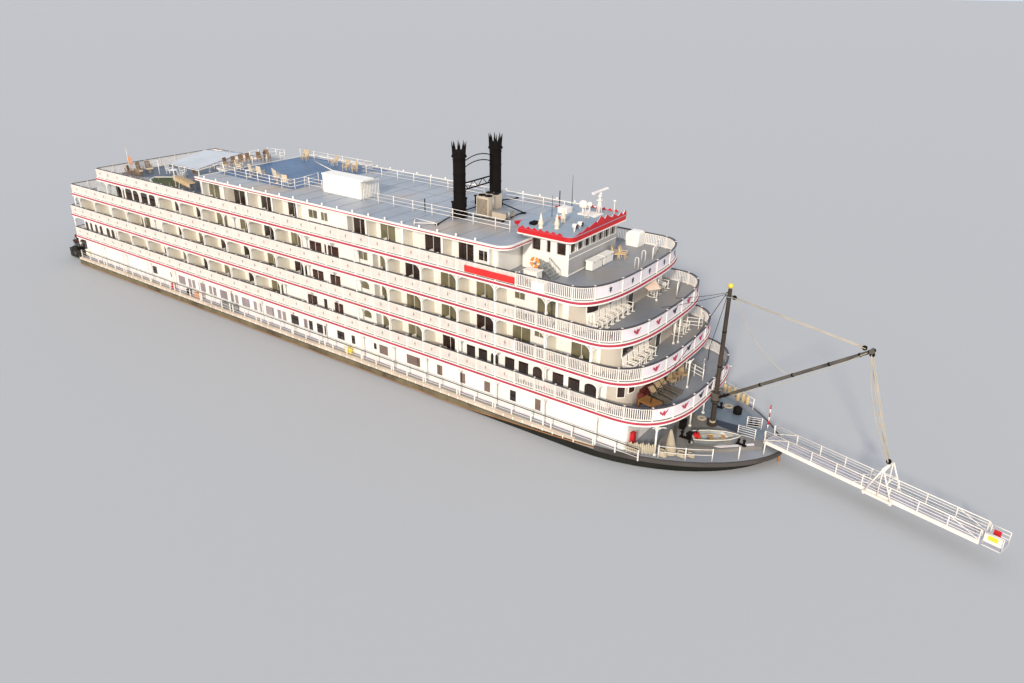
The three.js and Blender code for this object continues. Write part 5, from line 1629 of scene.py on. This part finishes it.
def pilothouse_roof_gear():
    """Vents, searchlights, domes, ladder mast, aerials, horns and boxes on the pilothouse."""
    shape = Shape()
    z = 15.63
    for x, y in ((37.5, -3.6), (38.6, -3.0), (38.0, -1.1)):
        shape.lathe((x, y, z), [(0.2, 0), (0.2, 0.06), (0.13, 0.1), (0.21, 0.3), (0.24, 0.36),
                                (0.12, 0.75), (0.05, 1.1), (0.02, 1.2)], 16, 1)
    for y in (-3.0, -2.2):
        shape.pole(40.2, y, z, z + 0.35, 0.06)
        shape.rod((40.05, y, z + 0.52), (40.42, y, z + 0.48), 0.17, 14, 0.22)
        shape.rod((40.42, y, z + 0.48), (40.44, y, z + 0.478), 0.2, 14, slot=3)
    for x, y, radius in ((37.95, 2.0, 0.35), (38.4, 2.35, 0.22)):
        shape.ball((x, y, z + 0.82), radius, 16, 9)
        shape.pole(x, y, z, z + 0.82 - radius * 0.5, 0.07)
    for x in (38.82, 39.18):
        shape.pole(x, 0.9, z, z + 1.3, 0.03, 6)
    for high in spots(z + 0.15, z + 1.15, 6):
        shape.rod((38.82, 0.9, high), (39.18, 0.9, high), 0.022, 6)
    shape.pole(40.3, 3.1, z, 16.85, 0.03, 6)
    shape.lathe((40.3, 3.1, 16.83), [(0.06, 0), (0.14, 0.03), (0.13, 0.1), (0.05, 0.14)], 12)
    shape.pole(35.8, 3.8, z, 18.3, 0.03, 6, 0.012, 2)
    shape.pole(36.4, -0.3, z, 17.4, 0.025, 6, 0.012, 2)
    for y, slot in ((-0.95, 4), (-0.6, 0)):
        shape.rod((37.2, y, z + 0.25), (37.75, y, z + 0.28), 0.05, 10, 0.15, slot)
        shape.pole(37.2, y, z, z + 0.25, 0.04, 6)
    shape.box(36.0, 36.9, 1.2, 2.1, z, z + 0.45)
    shape.box(36.2, 36.7, -3.3, -2.6, z, z + 0.2, 2)
    shape.build("pilothouse_roof_gear", [RAIL_WHITE, CREAM_RIM, BLACK, GLASS, BRIGHT_RED])


def radar():
    x, y, foot = 39.06, 2.8, 15.603
    shape = Shape()
    shape.box(x - 1.45, x + 0.3, y - 1.1, y + 0.25, foot, foot + 0.1)
    shape.pole(x, y, foot, foot + 1.62, 0.09, 12)
    for k in range(4):
        angle = 2 * math.pi * k / 4 + 0.4
        way = Vector((math.cos(angle), math.sin(angle), 0))
        shape.rod(Vector((x, y, foot + 0.1)) + way * 0.22,
                  Vector((x, y, foot + 1.2)) + way * 0.07, 0.03, 6)
    shape.pole(x, y, foot + 1.5, foot + 1.69, 0.17, 14)
    shape.post(x, y, foot + 1.2, foot + 1.26, 0.2)
    shape.pole(x - 1.1, y - 0.75, foot, foot + 0.7, 0.07, 10)
    shape.lathe((x - 1.1, y - 0.75, foot + 0.6), [(0.3, 0), (0.35, 0.06), (0.36, 0.3),
                                                  (0.3, 0.46), (0.16, 0.56), (0.03, 0.6)], 20)
    shape.build("radar_post", [RAIL_WHITE], replaces=["radar_mast"])

    shape = Shape(Matrix.Translation((x, y, 17.306)))
    shape.lathe((0, 0, 0), [(0.15, 0.0), (0.16, 0.05), (0.16, 0.16), (0.1, 0.22)], 14)
    section = [(-0.12, 0.2), (0.1, 0.2), (0.13, 0.28), (0.08, 0.36), (-0.1, 0.36), (-0.13, 0.3)]
    shape.plate(section, (0, 0, 0), ALONG, UP, 2.3)
    shape.box(0.128, 0.135, -1.1, 1.1, 0.25, 0.31, 1)
    for end in (-1.15, 1.15):
        shape.box(-0.13, 0.135, end - 0.02, end + 0.02, 0.19, 0.37, 1)
    shape.build("radar_bar", [RAIL_WHITE, PANEL_SHADE_GREY], body="radar", replaces=["radar_scanner"])


# Windows of the wheelhouse: ends across of the front ones, ends along of the side ones
WHEELHOUSE_FRONT = [(-3.6, -2.85), (-2.5, -1.8), (-1.4, -0.7), (-0.3, 0.4), (0.75, 1.45),
                    (1.8, 2.45), (2.8, 3.5)]
WHEELHOUSE_SIDE = [(36.82, 37.68), (38.2, 38.62), (39.14, 40.02)]


def window_trim(shape, windows, low, high):
    """Upright and level trims round windows in the frame of their wall."""
    for a, b in windows:
        for x in (a, b):
            shape.box(x - 0.03, x + 0.03, 0, 0.04, low, high)
        for z in (low, high):
            shape.box(a - 0.03, b + 0.03, 0, 0.05, z - 0.03, z + 0.03)


def wheelhouse_trim():
    shape = Shape(facing(1, 0, 40.27))
    window_trim(shape, WHEELHOUSE_FRONT, 14.05, 14.85)
    shape.box(-3.76, 3.76, 0, 0.05, 13.62, 13.68)
    shape.box(-3.76, 3.76, 0, 0.03, 12.3, 12.4)
    # Grey plates over the white front below the windows paint the shade the front stands in; the
    # gaps between them show as seams.
    seams = spots(-3.76, 3.76, 9)
    for a, b in zip(seams, seams[1:]):
        shape.box(a + 0.004, b - 0.004, 0, 0.012, 12.22, 14.02, 1)
    for _ in shape.both(3.76):
        window_trim(shape, WHEELHOUSE_SIDE, 13.85, 14.85)
        shape.box(35.95, 40.27, 0, 0.05, 13.5, 13.56)
    shape.build("wheelhouse_trim", [WHITE, WHEELHOUSE_FRONT_SHADE])


pilothouse_top()
pilothouse_roof_gear()
radar()
wheelhouse_trim()


# Terraces

def stair_rails(shape, path, z):
    rail(shape, path, z, 1.1, bars=(0.35, 0.66, 0.98), post=0.05, bar=0.035)


def name_board():
    """Bare red board on each side rail."""
    shape = Shape()
    for _ in shape.both(HALF_BEAM):
        shape.box(33.35, 38.05, -0.035, 0.035, 12.4, 12.86)
        for z in (12.4, 12.86):
            shape.box(33.32, 38.08, -0.05, 0.05, z - 0.03, z + 0.03)
        for x in (33.35, 38.05):
            shape.box(x - 0.03, x + 0.03, -0.05, 0.05, 12.4, 12.86)
    shape.build("name_board", [SIGN_RED], slot="red_paint")


def deck_5_gear():
    """Lockers, steps and rails beside the wheelhouse."""
    z = DECKS[5]["z"]
    shape = Shape()
    shape.box(39.7, 40.8, -8.02, -7.45, z, 12.95)
    shape.box(39.65, 40.85, -8.05, -7.42, 12.95, 13.0)
    shape.box(37.6, 38.85, -6.0, -5.3, z, 12.86)
    shape.box(37.55, 38.9, -6.05, -5.25, 12.86, 12.92)
    for y0, y1 in ((-1.45, 0.15), (0.42, 1.95)):
        shape.box(40.5, 41.1, y0, y1, z + 0.05, 12.95)
        shape.box(40.44, 41.16, y0 - 0.04, y1 + 0.04, 12.95, 13.03)
        for y in (y0 + 0.3, y1 - 0.3):
            shape.box(41.1, 41.13, y - 0.05, y + 0.05, 12.85, 12.96, 1)
    for i in range(5):
        x, low = 39.5 - 0.24 * i, z + 0.18 * i
        shape.box(x, x + 0.28, -5.0, -4.2, low, low + 0.16, 1)
    for y in (-5.02, -4.18):
        shape.rod((39.75, y, 12.8), (38.75, y, 13.6), 0.028, 6, slot=1)
        for x, low in ((39.7, z), (39.2, z + 0.4), (38.78, z + 0.7)):
            shape.pole(x, y, low, 12.83 + (39.72 - x) * 0.8, 0.02, 6, slot=1)
    shape.box(37.7, 38.55, -5.0, -4.0, z + 0.85, z + 0.93, 1)
    shape.box(39.85, 41.05, 6.55, 7.72, z, z + 1.1)
    for k, share in enumerate((0.95, 0.86, 0.72)):
        low = z + 1.1 + 0.06 * k
        shape.box(40.45 - 0.6 * share, 40.45 + 0.6 * share, 7.13 - 0.58 * share,
                  7.13 + 0.59 * share, low, low + 0.06)
    for x in (39.85, 41.05):
        shape.pole(x, 6.55, z, z + 1.12, 0.05)
    for x, y in ((43.6, 1.3), (43.2, 3.3)):
        shape.tube([(x - 0.16, y, z), (x - 0.16, y, z + 0.8), (x - 0.1, y, z + 0.95),
                    (x + 0.1, y, z + 0.95), (x + 0.16, y, z + 0.8), (x + 0.16, y, z)], 0.035)
    stair_rails(shape, [(42.9, 6.7), (43.6, 4.2)], z)
    shape.pole(38.3, -7.6, z, z + 1.1, 0.06)
    shape.build("deck_5_gear", [WHITE, STEEL])


def life_rings():
    """Upright life rings with four bands each."""
    shape = Shape()
    for centre, radius, thick, plane in (((38.0, -5.05, 13.3), 0.33, 0.12, "xz"),
                                         ((-19.06, -2.6, 10.9), 0.3, 0.07, "yz"),
                                         ((-19.06, 2.6, 10.9), 0.3, 0.07, "yz")):
        points = circle(*centre, radius, 20, plane)
        shape.tube(points, thick, closed=True)
        for i in range(0, 20, 5):
            shape.tube([points[i - 1], points[i]], thick * 1.12, slot=1)
    shape.build("life_rings", [ORANGE, WHITE])


def front_terraces():
    """Rocking chairs, loungers, table, posts and stair rails on the rounded fronts."""
    low, middle, high = (DECKS[deck]["z"] for deck in (2, 3, 4))
    shape = Shape()
    chairs(shape, high, [(44.1, -6.35, -0.6)] + [
        (44.36, y, 0.0) for y in (-5.5, -4.65, -3.8, -2.95, -2.1, -1.25, 3.2, 4.2, 5.2)],
        rocker=True, size=1.2)
    chairs(shape, middle, [(47.08, y, 0.0) for y in (-5.8, -4.9, -4.0, -3.1, -2.2, 3.0, 4.1)],
           rocker=True, size=1.2)
    shape.build("rocking_chairs", [CHAIR_CREAM])

    shape = Shape()
    for x, y, deck in ((45.1, 2.4, 4), (47.5, 1.1, 3), (47.7, 1.55, 3), (49.6, -0.25, 2)):
        floor, ceiling = DECKS[deck]["z"], DECKS[deck]["ceiling"]
        shape.pole(x, y, floor, ceiling, 0.06, 10)
        shape.pole(x, y, floor, floor + 0.15, 0.1, 10)
        brackets(shape, (x, y, ceiling), (0.2, 1, 0), 0.5, 0.5)
    stair_rails(shape, [(47.0, 4.8), (48.2, 5.2), (47.2, 7.6)], middle)
    stair_rails(shape, [(48.3, 2.4), (50.1, 1.65), (49.4, 3.5)], low)
    stair_rails(shape, [(45.2, 6.6), (45.9, 4.6)], high)
    shape.build("terrace_posts", [WHITE])

    shape = Shape()
    for x, y, heading in ((48.75, -3.55, -0.3), (48.75, -2.6, -0.3), (48.8, -1.7, -0.15)):
        lounger(shape, x, y, low, heading, 1, 0)
    chairs(shape, low, [(48.4, -0.6, -0.3), (48.3, 0.35, -0.2), (48.7, 0.95, -0.4)],
           cushion="thick")
    chairs(shape, DECKS[5]["z"], [(40.95, 2.65, 0.4), (41.5, 2.95, 0.2)], 2, cushion="tub")
    shape.build("terrace_loungers", [CUSHION, LOUNGER_GREY, TAN])

    shape = Shape()
    shape.at(48.8, -5.25, low, -0.2)
    for y in spots(-0.55, 0.41, 7):
        shape.box(-0.75, 0.75, y, y + 0.14, 0.7, 0.74)
    for x in (-0.68, 0.68):
        for y in (-0.48, 0.48):
            shape.post(x, y, 0.0, 0.7, 0.04)
    shape.box(-0.7, 0.7, -0.5, -0.46, 0.6, 0.7)
    shape.turn = None
    shape.box(47.6, 48.0, -4.95, -4.7, low, low + 0.89, 1)
    seat = low + 0.4
    for y0, y1 in ((-4.6, -2.65), (-2.6, -0.65)):
        shape.box(47.55, 48.0, y0, y1, seat, seat + 0.07, 1)
        shape.box(47.52, 47.58, y0, y1, seat + 0.07, seat + 0.59, 1)
        for y in (y0 + 0.06, y1 - 0.06):
            shape.box(47.55, 47.98, y - 0.04, y + 0.04, low, seat, 1)
            shape.box(47.55, 48.0, y - 0.03, y + 0.03, seat + 0.24, seat + 0.29, 1)
    shape.build("terrace_table", [TABLE_WOOD, BENCH_RED], slot="tan_wood")


def front_boards():
    """Boards over the walls of the rounded fronts, in a darkened cream that paints the shade and
    the warm bounce light on these white walls.
    """
    shape = Shape()
    angles = spots(math.radians(4), math.pi / 2, 10)
    for deck, front in FRONTS.items():
        outer, inner = (corner_arc(front["x"], HOUSE_HALF, front["radius"], angles, out)
                        + [(front["x"] + out, 0.55)] for out in (0.014, -0.006))
        for _ in shape.both():
            shape.strip(outer, inner, DECKS[deck]["z"] + 0.03, DECKS[deck]["ceiling"] - 0.02)
    shape.build("front_boards", [FRONT_WALL_SHADE])


def balcony_furniture():
    """A table with a chair or a pair of chairs on each balcony, and a lamp by each door."""
    pale, wicker = Shape(), Shape()
    for deck, rows in DOORS.items():
        floor = DECKS[deck]["z"]
        for i, (x0, x1, _) in enumerate(rows):
            for side in SIDES:
                y, wall = side * 7.0, side * CABINS[deck]["wall"]
                if (i + deck) % 3:
                    table(pale, x1 + 0.45, y, floor, 0.27, 0.62)
                    chair(pale, x1 - 0.25, y, floor, 0.0, size=0.8)
                else:
                    for x in (x0 + 0.2, x0 + 1.0):
                        chair(wicker, x, y, floor, -side * math.pi / 2, size=0.8)
                pale.box(x1 + 0.25, x1 + 0.37, wall, wall + side * 0.1, floor + 1.6, floor + 1.85)
    pale.build("balcony_tables", [CHAIR_CREAM])
    wicker.build("balcony_chairs", [PALE_WICKER])


def putting_green():
    z = DECKS[5]["z"]
    shape = Shape()
    green = [(-15.9, -3.9), (-15.0, -5.0), (-9.7, -6.85), (-8.3, -5.7), (-13.65, -2.1)]
    shape.prism(green, z + 0.002, z + 0.04)
    for a, b in zip(green, green[1:] + green[:1]):
        shape.bar((*a, z + 0.06), (*b, z + 0.06), 0.09, 0.1, 1)
    for x, y in ((-14.2, -4.4), (-10.2, -5.6), (-12.0, -3.6)):
        shape.pole(x, y, z + 0.04, z + 0.55, 0.012, 6, slot=1)
        shape.plate([(0, 0), (0.22, -0.07), (0, -0.14)], (x, y, z + 0.55), ALONG, UP, 0.01, 2)
    shape.build("putting_green", [GREEN, WHITE, BRIGHT_RED], slot="canvas")


def aft_terrace():
    """Painted floor and furniture of deck 5's open aft end."""
    z = DECKS[5]["z"]
    shape = Shape()
    for floor in ([(-20.9, -5.2), (-16.4, -4.2), (-13.6, -2.0), (-8.0, -0.6), (-8.6, 4.4),
                   (-20.9, 5.4)],
                  [(-12.4, -3.6), (-8.4, -5.2), (-3.0, -5.6), (-3.0, -0.7), (-8.0, -0.8)]):
        shape.prism(floor, z + 0.002, z + 0.012)
    shape.build("terrace_blue_floor", [DARK_BLUE_FLOOR], slot="deck_paint")

    shape = Shape()
    chairs(shape, z, [(-19.3, -4.7, 0.6), (-19.9, -3.2, 0.2), (-19.8, -2.15, -0.2),
                      (-18.3, -5.5, 1.2), (-17.2, -4.95, 1.9), (-12.6, -0.6, 0.5)])
    for x, y in ((-18.6, -4.1), (-18.9, -2.6)):
        table(shape, x, y, z, 0.45, 0.45, 1)
    for (x0, y0), (x1, y1) in (((-10.7, -4.35), (-8.4, -4.85)), ((-8.35, -4.9), (-6.1, -5.4))):
        shape.bar((x0, y0, z + 1.0), (x1, y1, z + 1.0), 0.8, 0.06, 1)
        shape.bar((x0, y0 - 0.36, z + 0.8), (x1, y1 - 0.36, z + 0.8), 0.06, 0.42, 1)
        for share in (0.06, 0.5, 0.94):
            x, y = x0 + (x1 - x0) * share, y0 + (y1 - y0) * share
            for leg in (y - 0.34, y + 0.34):
                shape.pole(x, leg, z, z + 0.98, 0.035, 6)
    shape.build("terrace_wicker", [BROWN_WICKER, TAN])

    shape = Shape()
    chairs(shape, z, [(-15.0, 3.4, -1.2), (-13.9, 4.6, -1.6), (-12.6, 5.2, -1.5),
                      (-11.2, 5.4, -1.5), (-9.6, 5.8, -1.4), (-16.6, 4.6, -1.0),
                      (-18.2, 5.0, -1.1), (-14.2, -1.2, 0.4), (-13.2, -2.2, 0.8),
                      (-16.4, -1.6, 0.2)])
    for x, y in ((-14.3, 3.9), (-17.4, 2.2), (-15.0, -1.9)):
        table(shape, x, y, z, 0.5, 0.72)
    for x, y in ((-12.9, -3.2), (-13.1, -1.7), (-16.9, -2.6)):
        shape.pole(x, y, z, z + 1.5, 0.05)
        shape.ball((x, y, z + 1.56), 0.1, 10, 6)
    rail(shape, [(-19.1, 5.9), (-16.0, 6.1), (-12.0, 6.4)], z, 1.6)
    shape.build("terrace_white", [PLASTIC])


def side_clutter():
    """Crates, hoses and boxes along the main deck."""
    rng = random.Random(7)
    shape = Shape()
    for _ in shape.both(7.5):
        for x, long, high, slot in ((-5.6, 1.2, 0.5, 0), (-7.0, 0.5, 0.55, 1), (-0.9, 1.8, 0.5, 2),
                                    (1.3, 0.6, 0.65, 2), (18.3, 0.8, 0.45, 3),
                                    (-9.9, 0.35, 0.6, 4)):
            deep, low = (0.2 + 0.06 * rng.random()) / 2, MAIN_DECK_Z + 0.01
            top = low + high
            shape.box(x, x + long, -deep, deep, low, top, slot)
            shape.box(x - 0.03, x + long + 0.03, -deep - 0.02, deep + 0.02, top, top + 0.05, slot)
    shape.box(48.05, 48.35, -6.6, -6.2, 1.35, 2.25, 4)
    shape.box(48.03, 48.37, -6.62, -6.18, 2.25, 2.3, 4)
    shape.build("deck_crates", [ORANGE_WOOD, BLACK, STEEL, SIGN_YELLOW, BRIGHT_RED],
                slot="tan_wood")


name_board()
deck_5_gear()
life_rings()
front_terraces()
front_boards()
balcony_furniture()
putting_green()
aft_terrace()
side_clutter()


# Cloth

def cloth(name, corners, look, sag_depth, steps, thickness=0.012, wave=0.0):
    """Thin closed sheet between four corners that sags, or ripples, between its edges."""
    a, b, c, d = (Vector(corner) for corner in corners)
    normal = (b - a).cross(d - a).normalized()
    if normal.z < 0:
        normal = -normal
    grid = []
    for u in spots(0, 1, steps + 1):
        for v in spots(0, 1, steps + 1):
            fall = 16 * u * (1 - u) * v * (1 - v) * sag_depth
            ripple = wave * math.sin(2 * math.pi * 2.5 * u + 1.3 * v) * v
            grid.append(a.lerp(b, u).lerp(d.lerp(c, u), v) - Vector((0, 0, fall))
                        + normal * ripple)
    row, count = steps + 1, len(grid)
    points = [point + normal * (side * thickness / 2) for side in (1, -1) for point in grid]
    faces = []
    for i in range(steps):
        for j in range(steps):
            near, far = i * row + j, (i + 1) * row + j
            faces.append((near, far, far + 1, near + 1))
            faces.append((near + 1 + count, far + 1 + count, far + count, near + count))
    rim = [i * row for i in range(steps)] + [steps * row + j for j in range(steps)]
    rim += [i * row + steps for i in range(steps, 0, -1)] + list(range(steps, 0, -1))
    faces += [(k, m, m + count, k + count) for k, m in zip(rim, rim[1:] + rim[:1])]
    shape = Shape()
    shape.put(points, faces, [0] * len(faces), [True] * len(faces))
    made = shape.build(name, [look], slot="canvas")


def canvases():
    """Awning over the terrace on its posts, the slanted covers and the small flag."""
    floor = DECKS[5]["z"] + 0.003
    shape = Shape()
    for x, y in ((-10.1, -4.9), (-5.2, -5.0), (-8.9, 3.1), (-13.5, 1.8), (-6.3, -1.3)):
        shape.pole(x, y, floor, 14.74, 0.05, 10)
        shape.pole(x, y, floor, floor + 0.057, 0.11, 10)
    shape.tube([(x, y, 14.73) for x, y in ((-10.2, -5.2), (-4.9, -5.3), (-6.1, -1.3), (-8.8, 3.4),
                                           (-12.7, 2.8), (-13.9, 1.8))], 0.04, closed=True)
    for a, b in (((-10.1, -4.9), (-13.5, 1.8)), ((-5.2, -5.0), (-8.9, 3.1)),
                 ((-7.6, -5.1), (-11.1, 2.7))):
        shape.rod((*a, 14.71), (*b, 14.71), 0.035)
    shape.build("awning_frame", [RAIL_WHITE], replaces=["awning"])
    cloth("awning_cloth", [(-10.2, -5.2, 14.83), (-4.9, -5.3, 14.83), (-8.75, 3.35, 14.83),
                           (-13.85, 1.85, 14.83)],
          AWNING, 0.03, 16, 0.015)
    cloth("quarter_cover", [(-21.9, -7.3, 11.84), (-18.4, -7.3, 11.84), (-18.3, -7.45, 10.35),
                            (-22.6, -7.45, 10.2)],
          CANVAS, 0.03, 20, wave=0.11)
    cloth("porch_cover", [(44.8, -0.5, 11.84), (45.35, 1.2, 11.84), (46.1, 0.95, 11.15),
                          (45.4, 0.1, 11.1)],
          TAN_CANVAS, 0.04, 10, wave=0.02)
    shape = Shape()
    shape.pole(-20.6, -4.1, DECKS[5]["z"], 15.0, 0.035, 8, 0.02)
    shape.ball((-20.6, -4.1, 15.03), 0.06, 10, 6, 1)
    shape.build("flag_pole", [WHITE, GOLD])
    cloth("flag", [(-20.58, -4.1, 14.3), (-20.1, -3.95, 13.95), (-20.0, -3.9, 13.1),
                   (-20.58, -4.1, 13.3)],
          FLAG_CLOTH, 0.0, 10, 0.01, wave=0.04)


canvases()


# Matt blacks, with little shine

DULL_SHINE = 0.15
for dull in (HULL, BLACK, BOW_EDGE_SHADE):
    dull.node_tree.nodes["Principled BSDF"].inputs["Specular IOR Level"].default_value = DULL_SHINE


# Materials of the CAD nodes that show

CAD_LOOKS = [
    (HULL, ["hull", "wheel_beam_starboard", "wheel_beam_port", "rudder_starboard",
            "rudder_port"]),
    (DECK, ["main_deck", "deck_2", "deck_3", "deck_4", "deck_5"]),
    (WHITE, ["house_1", "house_2", "house_3", "house_4", "house_5", "pilothouse",
             "roof_deckhouse", "radar_mast", "radar_scanner", "bow_porch"]),
    (RAIL_WHITE, ["stage", "stage_flap", "bow_rail_starboard", "bow_rail_port",
                  "main_rail_starboard", "main_rail_port", "sun_rail_aft", "sun_rail_port",
                  "sun_rail_starboard"]),
    (BLACK, ["stack_starboard", "stack_port", "stack_bracing"]),
    (RED, ["pilothouse_roof", "paddlewheel"]), (ROPE, ["topping_lift", "stage_falls"]),
    (BOW_GREY, ["foredeck_platform"]), (ROOF, ["sun_deck"]), (GLASS, ["pilothouse_glass"]),
    (BEIGE, ["cooling_unit"]), (CANVAS, ["awning"]), (TIMBER, ["mast"]), (SPAR, ["boom"]),
    (STEEL, ["skiff"]),
]
for look, names in CAD_LOOKS:
    for name in names:
        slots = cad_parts[name].data.materials
        slots.clear()
        slots.append(look)


# Stage: floor, light and camera

FLOOR_REACH = 600.0
SENSOR_WIDTH = 36.0
VIEW_END = 2000.0
# Sun lamps: name, direction the light travels, strength, softness in degrees, colour
LAMPS = [
    ("key", (-0.27, 0.90, -0.40), 3.4, 5.0, (1.0, 0.91, 0.79)),
    ("fill", (-0.80, 0.40, -0.25), 0.85, 60.0, (1.0, 0.90, 0.78)),
]


def place_in_scene(name, data):
    made = bpy.data.objects.new(name, data)
    bpy.context.scene.collection.objects.link(made)
    return made


def floor():
    mesh = bpy.data.meshes.new("floor")
    corners = [(x * FLOOR_REACH, y * FLOOR_REACH, WATER_Z)
               for x, y in ((-1, -1), (1, -1), (1, 1), (-1, 1))]
    mesh.from_pydata(corners, [], [(0, 1, 2, 3)])
    pale = bpy.data.materials.new("pale_floor")
    pale.use_nodes = True
    shader = pale.node_tree.nodes["Principled BSDF"]
    shader.inputs["Base Color"].default_value = (0.43, 0.435, 0.44, 1)
    shader.inputs["Roughness"].default_value = 0.9
    mesh.materials.append(pale)
    place_in_scene("floor", mesh)


def light():
    world = bpy.data.worlds.new("studio")
    bpy.context.scene.world = world
    world.use_nodes = True
    back = world.node_tree.nodes["Background"]
    back.inputs["Color"].default_value = (0.80, 0.87, 1.0, 1)
    back.inputs["Strength"].default_value = 0.85
    for name, way, strength, spread, color in LAMPS:
        lamp = bpy.data.lights.new(name, "SUN")
        lamp.energy = strength
        lamp.angle = math.radians(spread)
        lamp.color = color
        turn = Vector(way).to_track_quat("-Z", "Y").to_euler()
        place_in_scene(name, lamp).rotation_euler = turn


def camera():
    lens = bpy.data.cameras.new("camera")
    lens.lens = CAMERA_LENS
    lens.sensor_width = SENSOR_WIDTH
    lens.sensor_fit = "HORIZONTAL"
    lens.clip_end = VIEW_END
    made = place_in_scene("camera", lens)
    right = CAMERA_FORWARD.cross(CAMERA_UP).normalized()
    turn = Matrix((right, CAMERA_UP, -CAMERA_FORWARD)).transposed().to_4x4()
    made.matrix_world = Matrix.Translation((CAMERA_PLACE - ORIGIN) / SCALE) @ turn
    bpy.context.scene.camera = made


floor()
light()
camera()
bpy.context.scene.view_settings.view_transform = "Standard"
